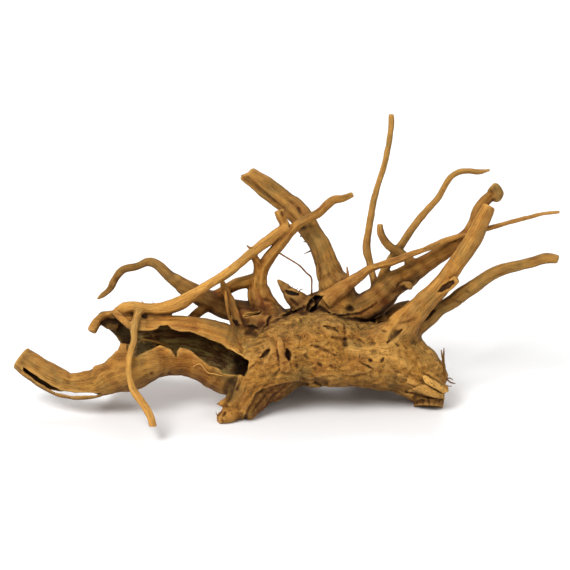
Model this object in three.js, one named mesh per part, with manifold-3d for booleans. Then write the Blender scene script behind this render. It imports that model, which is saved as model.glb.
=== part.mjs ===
// A spiderwood root, millimetres, +Z up, resting on its four feet at z = 0.
//
// The root is laid out in a front drawing that leans back by VIEW_TILT:
// "across" runs to the right, "up" runs up the drawing, "out" runs towards the
// viewer, all from the middle of the drawing. What lies further back is drawn
// smaller, as seen from VIEW_DISTANCE away, so every place is drawn where it is
// seen and then set back into the room by toRoom().
// The root grew as one piece, so all its limbs are joined in one solid.

import * as THREE from "three";
import { mergeVertices } from "three/addons/utils/BufferGeometryUtils.js";
import Module from "manifold-3d";

const wasm = await Module();
wasm.setup();

// The drawing and the room
const VIEW_TILT = THREE.MathUtils.degToRad(20);
const VIEW_DISTANCE = 1800;
const FLOOR_UNDER_DRAWING = 116;
const GROUND_SIZE = 1000;
const MIDDLE_ACROSS = 1.5;
const MIDDLE_BACK = -1.5;

// Faceting: sides round a limb, and the longest step along it
const TWIG_SIDES = 6;
const LIMB_SIDES = 8;
const FOOT_SIDES = 10;
const BOWED_LIMB_SIDES = 12;
const TRUNK_SIDES = 16;
const BURL_SIDES = 20;
const LUMP_ROWS = 10;
const LUMP_COLUMNS = 14;
const TWIG_STEP = 16;
const LIMB_STEP = 13;
const FIRST_SIDE = new THREE.Vector3(0.3, 0.2, 1);

// The arch through which one can see under the burl: middle, half width and height
const ARCH_MIDDLE = 57;
const ARCH_HALF_WIDTH = 39;
const ARCH_HEIGHT = 24;
const ARCH_SIDES = 24;
const ARCH_LENGTH = 300;

// How uneven the wood is: a share of the radius
const LIMB_UNEVENNESS = 0.07;
const TRUNK_UNEVENNESS = 0.03;
const BURL_UNEVENNESS = 0.03;
const LUMP_UNEVENNESS = 0.06;

// The hollow trunk
const WINDOW_BACK = 8;
const WINDOW_REACH = 70;
const SLIT_BACK = 8;
const SLIT_FRONT = 60;

// Each limb is a list of [across, up, out, radius]
const LIMBS = {
  archTwigBackLeft: [
    [-188, -14, -52, 1.2], [-182, -10, -50, 2.6], [-175, -4, -48, 3.1], [-171, 4, -46, 3.6],
    [-162, 15, -43, 4], [-149, 18.5, -40, 4], [-136, 23, -34, 4.6], [-129, 21, -30, 5],
    [-115, 9, -24, 6], [-107, 3, -21, 7.2], [-99, -3, -20, 8.6], [-80, -13, -22, 10],
    [-60, -23, -25, 11], [-45, -26, -25, 11.5], [-27, -30, -24, 14],
  ],
  strutUnderArch: [
    [-78, -22, -20, 5], [-90, -31, -12, 5], [-96, -40, -4, 6],
  ],
  longFrontLimb: [
    [-171, -26, 14, 2.2], [-167, -26, 14, 5], [-160, -24, 14, 7], [-153, -22.5, 14, 6.6],
    [-135, -24.5, 14, 5.8], [-125, -24, 13, 6.5], [-115, -22, 12, 7.5], [-105, -18, 11, 7.5],
    [-95, -12, 10, 6.5], [-85, -6, 9, 5.2], [-75, 1, 7, 4.7], [-55, 13.6, 3, 4.7],
    [-35, 31, -3, 4.7], [-15, 45.5, -9, 5.8], [3, 58, -12, 5.6],
  ],
  stubOnFrontLimb: [
    [1, 58, -12, 4.4], [-4, 68, -14, 4.5], [-6, 75, -16, 4.4],
  ],
  fork: [
    [-10, -42, -14, 18], [-18, -25, -17, 14], [-25, -11, -16, 12], [-26.5, 0, -15, 8.5],
    [-24, 13, -14, 7], [-19, 23, -13, 6.3], [-11, 33, -12, 5.8], [-2, 44, -12, 5.3],
    [7, 55, -13, 5.3], [15, 61.5, -14, 4.6], [25, 67, -16, 4.5], [35, 73, -18, 4.8],
    [43, 81, -19, 4.5], [50, 85.5, -20, 4.2], [57, 86.5, -21, 3.6], [68, 91, -22, 3],
  ],
  prongOfFork: [
    [-24, 10, -14, 6], [-28, 23, -9, 4], [-33, 30, -4, 3.6],
  ],
  archToBackLimb: [
    [-24, 2, -15, 6], [-32, 6, -16, 5.5], [-40, 4, -17, 5], [-49, 1, -19, 5],
    [-56, -4, -21, 4.6], [-69, -12, -24, 6],
  ],
  thickMiddleLimb: [
    [52, -44, -16, 26], [52, -26, -18, 24], [52, -8, -20, 19], [46, 9, -24, 13.5], [41, 23, -28, 11.6],
    [35.5, 37, -33, 11], [27.5, 51, -38, 10.4], [18.5, 65, -44, 11.2], [11, 74, -48, 11.4],
    [-1, 85.5, -54, 9.8], [-15, 96, -60, 9.2], [-26, 104.5, -65, 8.6], [-36, 111, -69, 7.8],
  ],
  hornByMiddleLimb: [
    [22, -26, -8, 14], [15, -18, -6, 9], [6, -10, -5, 7], [-1, -2, -6, 4], [-7, 5, -8, 1.6],
  ],
  darkStump: [
    [-50, -32, -20, 9], [-36, -36, -12, 13], [-20, -42, -6, 17], [0, -46, -4, 18],
  ],
  stickBeforeArch: [
    [-63, 4, -6, 2.5], [-60, -5, -7, 4.2], [-55, -15, -7, 4.8], [-51, -25, -5, 4.2],
    [-47, -35, -2, 4], [-43, -46, 2, 4],
  ],
  hangingTwig: [
    [-146, -28, 16, 5], [-149, -35, 28, 4], [-151, -45, 43, 3.8], [-151, -55, 50, 3.4],
    [-155, -70, 54, 3.2], [-156.5, -85, 56, 3], [-155.5, -95, 58, 3], [-152, -105, 61, 3.7],
    [-145, -115, 66, 3.8], [-138, -125, 72, 4], [-133.5, -135, 78, 3.8], [-131, -147, 83, 3.6],
    [-131, -159, 86, 3.8],
  ],
  longThinLimb: [
    [40, -17, 0, 10], [53, -7, 0, 8.4], [65, 2, -2, 6.4], [75, 9, -4, 5.2], [83, 15.5, -5, 4.4],
    [93, 19, -6, 3.8], [105, 22.5, -7, 4], [115, 26, -7, 3.6], [127, 31, -7, 2.9],
    [139, 35, -7, 2.6], [149, 39, -7, 3.2], [160, 44.5, -6, 3.2], [171, 48, -6, 3],
    [200, 55.7, -3, 2.6], [220, 61.5, 1, 2.3], [245, 68, 6, 2.1], [260, 71.4, 9, 2],
    [275, 73, 12, 1.7],
  ],
  uprightTwig: [
    [92, -14, -26, 6], [89, 4, -32, 3.5], [86.5, 15, -34, 3.6], [84.5, 24, -36, 3.8],
    [81.7, 35, -37, 4.3], [82, 45, -38, 3.7], [85.5, 65, -39, 3.4], [89, 85, -41, 3.1],
    [94.5, 105, -43, 3], [100.5, 125, -44, 3], [104.5, 145, -46, 2.9], [106.7, 161, -47, 3.2],
    [106, 171, -48, 2.9],
  ],
  curvedTwig: [
    [98, -6, -26, 7], [96, 4, -27, 4.4], [104, 23, -29, 4], [111, 33, -30, 4.3],
    [122, 49, -32, 4], [135, 67, -34, 3.6], [143, 76, -36, 3.3], [152, 86, -38, 3.2],
    [162, 103, -41, 3], [168, 109.3, -42, 3], [176, 113.3, -42, 2.9], [185, 114, -41, 2.7],
    [193, 113, -40, 2.7], [205, 115, -38, 1.7],
  ],
  hookedTwig: [
    [128, 20, -28, 6], [119, 30, -28, 4.1], [112, 34, -28, 4.3], [104, 39, -26, 4.1],
    [99, 45, -25, 4], [95.5, 52, -23, 3.8], [95, 61, -22, 3],
  ],
  rearRightLimb: [
    [60, -30, -14, 15], [83, -21, -17, 15], [96, -12, -22, 15.5], [107, -1, -26, 14.5],
    [118, 6, -28, 12.2], [130, 13.5, -28, 10], [143, 22.5, -26, 9], [155, 30.5, -23, 8.5],
    [167, 38, -19, 7.7], [177, 45, -14, 8], [186.5, 54, -11, 8], [191, 65, -14, 6.6],
    [194, 75, -19, 6.4], [199, 82.5, -24, 6], [206, 89, -28, 5.4],
  ],
  knobOnRearLimb: [
    [206, 99, -31, 4.4], [209, 96, -31, 6.6], [211.5, 91, -30, 7], [208, 85, -28, 4.6],
  ],
  frontRightLimb: [
    [100, -60, 14, 20], [115, -45, 16, 15.5], [127, -31, 16, 13], [139, -18, 16, 11],
    [151, -6, 15, 10], [162, 8, 14, 9.3], [172, 22, 13, 9], [181, 35, 12, 9],
    [189, 48, 10, 9], [196, 62, 8, 8], [204, 79, 5, 6.6],
  ],
  stubOnFrontRightLimb: [
    [153, -9, 14, 6], [163, -2, 22, 4.8], [172, 6, 28, 4.2],
  ],
  lowRightLimb: [
    [108, -64, 0, 16], [123, -49, 0, 11], [133, -41, -2, 8.8], [144, -33.5, -3, 7.8],
    [154, -24, -3, 7], [165, -18, -2, 7], [177, -9.5, 0, 7.3], [189, -1.5, 2, 7],
    [201, 7, 4, 6.5], [213, 13.5, 6, 6], [225, 17.5, 8, 5.5], [237, 20.3, 10, 5.3],
    [249, 23.3, 12, 5.2], [260, 26.5, 14, 5.3], [271.5, 27, 16, 5.1],
  ],
  darkStubBehind: [
    [92, -42, -30, 9], [100, -34, -36, 6.4], [113, -25, -40, 7], [126, -19, -43, 5],
  ],
  backLimb: [
    [62, -46, -30, 20], [66, -44, -60, 13], [72, -46, -84, 9.5], [84, -50, -104, 7.6],
    [90, -52, -124, 6.2], [88, -50, -142, 5.2], [92, -46, -158, 4.4],
  ],
  backTwig: [
    [76, -48, -88, 6], [92, -40, -100, 5], [104, -40, -116, 4.2], [116, -46, -128, 3.4],
    [124, -48, -142, 2.4],
  ],
  backLimbLeft: [
    [8, -58, -30, 18], [-4, -56, -56, 12], [-16, -58, -78, 8.6], [-26, -62, -96, 6.6],
    [-30, -66, -112, 5], [-40, -68, -124, 3.6],
  ],
  backTwigLeft: [
    [-14, -57, -74, 6], [-2, -46, -88, 4.4], [8, -44, -104, 3.6], [12, -50, -122, 2.6],
  ],
};

// Thin rootlets, sunk into what they grow from at both ends or at one
const ROOTLETS = {
  wiryRootlet: [
    [-7, 33, -9, 1.6], [0, 28, -4, 1.2], [8, 23, -1, 1.2], [16, 19, 0, 1.2], [21, 13, 0, 1.2],
    [26, 7, -1, 1.2], [26.5, -9, -2, 1.2], [25, -20, -4, 2],
  ],
  hangingRootlet: [
    [-57, -14, -4, 3], [-59, -24, 8, 1.7], [-56, -38, 22, 1.5], [-49, -55, 34, 1.5],
    [-42, -66, 38, 1.5], [-34, -77, 36, 1.8],
  ],
  twigUnderThinLimb: [
    [62, 18, -4, 1.5], [63, 7, -3, 1.4], [64, 0, -2, 1.8],
  ],
  rootletOnBurl: [
    [91, -36, -22, 2], [91, -46, 0, 1.5], [90, -54, 14, 2],
  ],
  rightHairs: [
    [160, -100, 4, 2], [160, -88, 8, 1.4], [158, -74, 10, 1.2], [158, -64, 11, 1.1],
  ],
  rightHairLow: [
    [158, -94, 2, 2], [166, -96, 6, 1.3], [170, -98, 8, 1.1],
  ],
};

// The hollow trunk at the left, its lower wall drawn out in a bowed limb
const TRUNK = [
  [-183, -66, 4, 38], [-172, -67, 6, 40], [-160, -68, 8, 39], [-147, -65, 8, 35],
  [-133, -62, 8, 31.5], [-118, -60.5, 8, 29.8], [-100, -61.5, 8, 31], [-85, -65, 8, 33],
  [-70, -70, 6, 33.5], [-54, -76, 3, 34.5], [-32, -80, 0, 34],
];
const BOWED_LIMB = [
  [-140, -78, 30, 17], [-156, -82, 28, 20], [-176, -91, 25, 17.5], [-190, -98, 22, 15],
  [-203, -101, 20, 14.2], [-217, -100.5, 18, 13.2], [-228, -96, 16, 13.7],
  [-240, -90, 14, 14.3], [-252, -82, 12, 13.6], [-265, -72.5, 10, 11.8],
];
const HOOK = [
  [-166, -34, -6, 8], [-176, -32, -8, 6], [-184, -36, -8, 5], [-190, -41, -6, 4.6],
  [-195, -48, -3, 4],
];
const HOLLOW = [
  [-196, -50, 8, 26], [-180, -60, 8, 31], [-160, -66, 8, 31.5], [-147, -64, 8, 27.5],
  [-133, -62, 8, 24], [-118, -61, 8, 22.3], [-100, -62, 8, 23.5], [-85, -66, 8, 25],
  [-70, -71, 8, 24], [-54, -78, 8, 19], [-42, -84, 8, 10],
];
const WINDOW_OUTLINE = [
  [-171, -27.5], [-154, -45], [-147, -46], [-135, -46], [-127, -44], [-125, -41], [-117, -40],
  [-114, -44], [-105, -47], [-95, -47], [-85, -50], [-75, -55], [-65, -58], [-55, -65],
  [-42, -70], [-36, -76], [-39, -84], [-42, -91], [-55, -89], [-62, -88], [-67, -83],
  [-75, -81], [-85, -73], [-95, -65], [-105, -62], [-110, -71], [-114, -64], [-125, -60],
  [-135, -65], [-145, -69], [-152, -73], [-158, -64], [-164, -58], [-190, -50], [-196, -22],
];
const TORN_EDGE_OUTLINE = [
  [-240, 10], [-184, -16], [-182, -29], [-181, -38], [-175, -45], [-168, -52], [-164, -58],
  [-165, -62.5], [-170, -67.5], [-176, -74], [-179, -79], [-185, -81], [-240, -90],
];
const SLIT_OUTLINE = [
  [-262, -82], [-253, -88], [-243, -95], [-233, -101], [-225, -105], [-210, -108],
  [-197, -107.7], [-184, -108.6], [-190, -110.4], [-213, -111], [-230, -107.4],
  [-238, -102.6], [-248, -96.4], [-262, -86],
];

// The burl, a thick knotted body from [across, up, out, half height] and its side lumps
// of [across, up, out, half width, half height, half depth]
const BURL = [
  [-38, -82, 4, 22], [-28, -80, 4, 33], [-12, -76, 2, 35], [10, -65, -2, 36.5],
  [34, -64.5, -4, 38.5], [55, -68, -6, 34.5], [75, -70.5, -8, 33.5], [95, -72, -8, 33],
  [113, -77, -8, 33], [127, -84, -6, 29], [140, -92, -5, 23], [150, -98, -4, 16],
  [158, -102, -3, 8],
];
const BURL_DEPTH_SHARE = 1.32;
const BURL_LUMPS = [
  [26, -27, -32, 22, 15, 16], [4, -66, 21, 28, 22, 22], [40, -48, 8, 28, 14, 28],
  [50, -84, 10, 32, 16, 28], [97, -80, 8, 32, 22, 28],
  [24, -60, -38, 34, 28, 26], [84, -66, -40, 34, 26, 22], [-8, -70, -26, 28, 26, 24],
];

// Ridges and split strips that stand out of the burl
const RIDGES = {
  ridgeDownLeftFoot: [
    [-22, -62, 30, 8], [-33, -76, 38, 8.5], [-38, -92, 38, 8], [-44, -108, 36, 7],
    [-54, -122, 34, 5],
  ],
  strayStickLeft: [
    [-8, -51, 36, 3.4], [-6, -62, 44, 4], [-4, -74, 44, 3],
  ],
  splitStripOnRightFoot: [
    [132, -86, 18, 6], [146, -96, 20, 6.5], [160, -106, 14, 5],
  ],
  lowerStripOnRightFoot: [
    [122, -94, 22, 6.5], [138, -103, 18, 6], [152, -110, 13, 5],
  ],
};

// The feet, thick root ends that reach the floor
const FEET = {
  leftFoot: [
    [-20, -84, 12, 30], [-34, -103, 18, 21], [-44, -116, 23, 15], [-54, -128, 29, 9.5],
    [-62, -133, 33, 7], [-67, -134, 35, 4.4],
  ],
  leftFootHeel: [
    [-16, -90, 6, 22], [-27, -108, 14, 15], [-35, -122, 18, 10.5],
  ],
  leftFootSpur: [
    [-46, -114, 26, 8], [-58, -117, 30, 4.5], [-66, -119, 32, 2.6],
  ],
  rightFoot: [
    [122, -88, -2, 25], [138, -101, -3, 20], [145, -111, -3, 15.5], [148, -119, -3, 12],
  ],
  rightFootHeel: [
    [118, -90, -4, 19], [137, -111, -3, 11],
  ],
  backFootLeft: [
    [14, -66, -40, 26], [8, -76, -68, 18], [2, -84, -86, 13], [-4, -92, -98, 10],
  ],
  backFootRight: [
    [88, -68, -44, 24], [98, -78, -64, 16], [106, -86, -80, 12], [112, -94, -92, 9],
  ],
};

function smoothValue(values, t) {
  const last = values.length - 1;
  const i = Math.min(Math.floor(t * last), last - 1);
  const f = THREE.MathUtils.smoothstep(t * last - i, 0, 1);
  return THREE.MathUtils.lerp(values[i], values[i + 1], f);
}

// Rings at even steps between the points, as places on the curve from 0 to 1
function ringPlaces(points, step) {
  const places = [0];
  const last = points.length - 1;
  for (let i = 0; i < last; i += 1) {
    const gap = points[i].distanceTo(points[i + 1]);
    const count = Math.max(1, Math.round(gap / step));
    for (let j = 1; j <= count; j += 1) {
      places.push((i + j / count) / last);
    }
  }
  return places;
}

// How much the wood swells or shrinks at a turn round one of its rings
function swelling(turn, ring, seed) {
  return Math.sin(2 * turn + 0.9 * ring + seed) + 0.6 * Math.sin(3 * turn - 1.7 * ring + 2 * seed);
}

// A closed cylinder bent along the limb's curve, its rings turned as little as possible
function limbGeometry(rows, sides, step, seed, unevenness = LIMB_UNEVENNESS, depthShare = 1) {
  const points = rows.map(([across, up, out]) => new THREE.Vector3(across, up, out));
  const radii = rows.map((row) => row[3]);
  const curve = new THREE.CatmullRomCurve3(points, false, "centripetal");
  const places = ringPlaces(points, step);
  const rings = places.length - 1;
  const frames = [];
  let side = FIRST_SIDE;
  for (const place of places) {
    const along = curve.getTangent(place);
    side = side.clone().addScaledVector(along, -side.dot(along)).normalize();
    frames.push({
      centre: curve.getPoint(place),
      side,
      cross: new THREE.Vector3().crossVectors(side, along),
      radius: smoothValue(radii, place),
    });
  }
  const roundness = 1 / Math.sqrt(Math.cos(Math.PI / sides));
  const geometry = new THREE.CylinderGeometry(1, 1, 1, sides, rings);
  const position = geometry.attributes.position;
  for (let i = 0; i < position.count; i += 1) {
    const ring = Math.round((position.getY(i) + 0.5) * rings);
    const x = position.getX(i);
    const z = position.getZ(i);
    const frame = frames[ring];
    const turn = Math.atan2(z, x);
    const radius = frame.radius * roundness * (1 + unevenness * swelling(turn, ring, seed));
    const place = frame.centre.clone();
    place.addScaledVector(frame.side, x * radius * depthShare);
    place.addScaledVector(frame.cross, z * radius);
    position.setXYZ(i, place.x, place.y, place.z);
  }
  return geometry;
}

// A ball pulled to its half width, height and depth, with shallow swellings
function lumpGeometry([across, up, out, halfWidth, halfHeight, halfDepth], seed) {
  const geometry = new THREE.SphereGeometry(1, LUMP_COLUMNS, LUMP_ROWS);
  const position = geometry.attributes.position;
  for (let i = 0; i < position.count; i += 1) {
    const point = new THREE.Vector3().fromBufferAttribute(position, i);
    const swell = Math.sin(5.1 * point.x + seed) * Math.sin(4.3 * point.y + 2 * seed)
      + 0.7 * Math.sin(6.7 * point.z - 3.9 * point.x + 3 * seed);
    point.multiplyScalar(1 + LUMP_UNEVENNESS * swell);
    position.setXYZ(
      i,
      across + point.x * halfWidth,
      up + point.y * halfHeight,
      out + point.z * halfDepth,
    );
  }
  return geometry;
}

// A straight cutter with the given outline in the drawing, from one depth to another
function cutterGeometry(outline, from, to) {
  const shape = new THREE.Shape(outline.map(([across, up]) => new THREE.Vector2(across, up)));
  const geometry = new THREE.ExtrudeGeometry(shape, { depth: to - from, bevelEnabled: false });
  geometry.translate(0, 0, from);
  return geometry;
}

function solidOf(geometry) {
  const bare = geometry.index ? geometry.toNonIndexed() : geometry.clone();
  bare.deleteAttribute("normal");
  bare.deleteAttribute("uv");
  const merged = mergeVertices(bare, 1e-4);
  return new wasm.Manifold(new wasm.Mesh({
    numProp: 3,
    vertProperties: new Float32Array(merged.attributes.position.array),
    triVerts: new Uint32Array(merged.index.array),
  }));
}

function joined(solids) {
  return solids.reduce((sum, solid) => sum.add(solid));
}

function limbs(table, sides, step) {
  return joined(Object.values(table).map((rows, i) => solidOf(limbGeometry(rows, sides, step, i))));
}

// The hollow trunk, with its window, its torn left edge and the bowed limb's slit
function trunk() {
  const tornEdge = solidOf(cutterGeometry(TORN_EDGE_OUTLINE, -WINDOW_REACH, WINDOW_REACH));
  const window = solidOf(cutterGeometry(WINDOW_OUTLINE, WINDOW_BACK, WINDOW_REACH));
  const slit = solidOf(cutterGeometry(SLIT_OUTLINE, SLIT_BACK, SLIT_FRONT));
  const hollow = solidOf(limbGeometry(HOLLOW, TRUNK_SIDES, LIMB_STEP, 5, TRUNK_UNEVENNESS));
  const outside = solidOf(limbGeometry(TRUNK, TRUNK_SIDES, LIMB_STEP, 2, TRUNK_UNEVENNESS));
  const bowed = solidOf(
    limbGeometry(BOWED_LIMB, BOWED_LIMB_SIDES, LIMB_STEP, 3, TRUNK_UNEVENNESS),
  );
  const hook = solidOf(limbGeometry(HOOK, LIMB_SIDES, LIMB_STEP, 4));
  return outside
    .subtract(tornEdge)
    .add(bowed.subtract(slit))
    .add(hook)
    .subtract(hollow)
    .subtract(window);
}

// Sets a place of the drawing back into the room, with the floor at z = 0
function toRoom(point) {
  const shrink = 1 - point.z / VIEW_DISTANCE;
  const up = point.y * shrink;
  const out = point.z;
  return new THREE.Vector3(
    point.x * shrink - MIDDLE_ACROSS,
    up * Math.sin(VIEW_TILT) - out * Math.cos(VIEW_TILT) - MIDDLE_BACK,
    up * Math.cos(VIEW_TILT) + out * Math.sin(VIEW_TILT) + FLOOR_UNDER_DRAWING,
  );
}

function geometryOf(solid, change = (point) => point) {
  const mesh = solid.getMesh();
  const positions = new Float32Array(mesh.numVert * 3);
  for (let i = 0; i < mesh.numVert; i += 1) {
    const row = mesh.vertProperties.slice(i * mesh.numProp, i * mesh.numProp + 3);
    change(new THREE.Vector3(...row)).toArray(positions, i * 3);
  }
  const geometry = new THREE.BufferGeometry();
  geometry.setAttribute("position", new THREE.BufferAttribute(positions, 3));
  geometry.setIndex(new THREE.BufferAttribute(new Uint32Array(mesh.triVerts), 1));
  return geometry;
}

// All limbs, feet, burl and trunk in one, its feet trimmed flat at the floor
function rootGeometry() {
  const lumps = joined(BURL_LUMPS.map((lump, i) => solidOf(lumpGeometry(lump, i))));
  const burl = solidOf(
    limbGeometry(BURL, BURL_SIDES, LIMB_STEP, 1, BURL_UNEVENNESS, BURL_DEPTH_SHARE),
  ).add(lumps);
  const drawn = joined([
    burl,
    limbs(FEET, FOOT_SIDES, LIMB_STEP),
    limbs(RIDGES, LIMB_SIDES, LIMB_STEP),
    limbs(LIMBS, LIMB_SIDES, LIMB_STEP),
    limbs(ROOTLETS, TWIG_SIDES, TWIG_STEP),
    trunk(),
  ]);
  const arch = new THREE.CylinderGeometry(1, 1, ARCH_LENGTH, ARCH_SIDES)
    .scale(ARCH_HALF_WIDTH, 1, ARCH_HEIGHT)
    .translate(ARCH_MIDDLE, 0, 0);
  const ground = new THREE.BoxGeometry(GROUND_SIZE, GROUND_SIZE, GROUND_SIZE)
    .translate(0, 0, -GROUND_SIZE / 2);
  const standing = solidOf(geometryOf(drawn, toRoom));
  return geometryOf(standing.subtract(solidOf(arch)).subtract(solidOf(ground)));
}

const wood = new THREE.MeshStandardMaterial({ color: 0xb07a3c, roughness: 0.75, metalness: 0 });
const root = new THREE.Mesh(rootGeometry(), wood);
root.name = "spiderwood_root";

const part = new THREE.Group();
part.add(root);

export default part;
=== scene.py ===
"""A dry spiderwood root: the grown wood, its rootlets and fibres, and a plain studio round it.

The root is drawn as it is seen from the front, in millimetres: "across" runs to the right, "up"
runs up the drawing and "out" runs towards the viewer, and to_room() sets every drawn place back
into the room, in metres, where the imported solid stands. The wood is the level surface of a field
worked out on a grid of places: near a limb the field is the distance to the limb's centre line
less its radius, and limbs flow into each other by a smooth minimum, as grown wood does.
"""

import math
from types import SimpleNamespace

import bpy
import numpy as np
from bpy.props import FloatProperty, FloatVectorProperty, IntProperty, PointerProperty
from mathutils import Euler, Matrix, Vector


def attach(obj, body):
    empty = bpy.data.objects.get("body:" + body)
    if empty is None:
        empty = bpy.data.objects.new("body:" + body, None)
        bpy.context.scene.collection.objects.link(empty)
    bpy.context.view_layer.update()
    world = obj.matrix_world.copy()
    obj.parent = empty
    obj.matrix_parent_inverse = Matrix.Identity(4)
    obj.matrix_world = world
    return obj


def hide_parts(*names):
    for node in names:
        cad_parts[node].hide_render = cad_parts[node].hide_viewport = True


bl_info = {
    "name": "Spiderwood root",
    "version": (1, 0, 0),
    "blender": (4, 5, 0),
    "location": "3D view > Sidebar > Root",
    "description": "Grows the wood of a dry spiderwood root, its rootlets and its fibres",
    "category": "Object",
}

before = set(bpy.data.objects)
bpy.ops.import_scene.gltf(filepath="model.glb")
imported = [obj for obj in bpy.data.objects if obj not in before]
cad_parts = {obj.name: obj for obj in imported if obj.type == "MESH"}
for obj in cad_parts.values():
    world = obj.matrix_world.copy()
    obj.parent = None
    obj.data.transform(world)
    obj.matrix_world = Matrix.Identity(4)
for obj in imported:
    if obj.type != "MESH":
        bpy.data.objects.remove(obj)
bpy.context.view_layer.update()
NODE = "spiderwood_root"
BODY = "root"

# The drawing and the room, millimetres
VIEW_TILT = math.radians(20)
VIEW_DISTANCE = 1800.0
PICTURE_WIDTH = 570.0
FLOOR_UNDER_DRAWING = 116.0
MIDDLE_ACROSS = 1.5
MIDDLE_BACK = -1.5
MILLIMETRE = 0.001

# The grid of places on which the field is worked out, across, up and out, the field's value where
# no wood is near, and how far off its wood a limb's field is worked out
GRID_LOW = (-278.0, -142.0, -166.0)
GRID_HIGH = (282.0, 178.0, 94.0)
FAR = 24.0
LIMB_REACH = 9.0

# The first seed of each group of random draws, and the primes that the noise's hash is made with
SEEDS = SimpleNamespace(burl=1, feet=20, ridges=30, limbs=40, marks=80, tubes=200, plates=400)
HASH_PRIMES = (73856093, 19349663, 83492791)

# How far the burl's look reaches past its body, how fast a limb's tone fades away from it, and
# how far apart the limbs' grains are taken
BURL_LOOK_REACH = 14
TONE_FADE = 1.6
GRAIN_GAP = 400

# How many places are measured against a path at once, so that the tables of distances stay small
ROWS_AT_ONCE = 20000

# The depths between which a fibre looks for the wood that it lies on, and how near the floor, in
# metres, the wood lies flat on it
FIBRE_FRONT = 120.0
FIBRE_BACK = -160.0
LYING_FLAT = 0.0002

# The stage in metres: half the floor's width, and each light's place, target and size
FLOOR_HALF_WIDTH = 16.0
LIGHTS = {
    "key": ((-2.0, -2.3, 3.9), (0, 0, 0.08), 2.4),
    "fill": ((3.0, -2.4, 2.6), (0, 0, 0.08), 2.4),
    "back": ((0.4, 4.2, 4.0), (0, 1.6, 0.08), 3.0),
}

# The arch through which one can see under the burl, in the room
ARCH_MIDDLE = 57.0
ARCH_HALF_WIDTH = 39.0
ARCH_HEIGHT = 24.0

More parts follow.
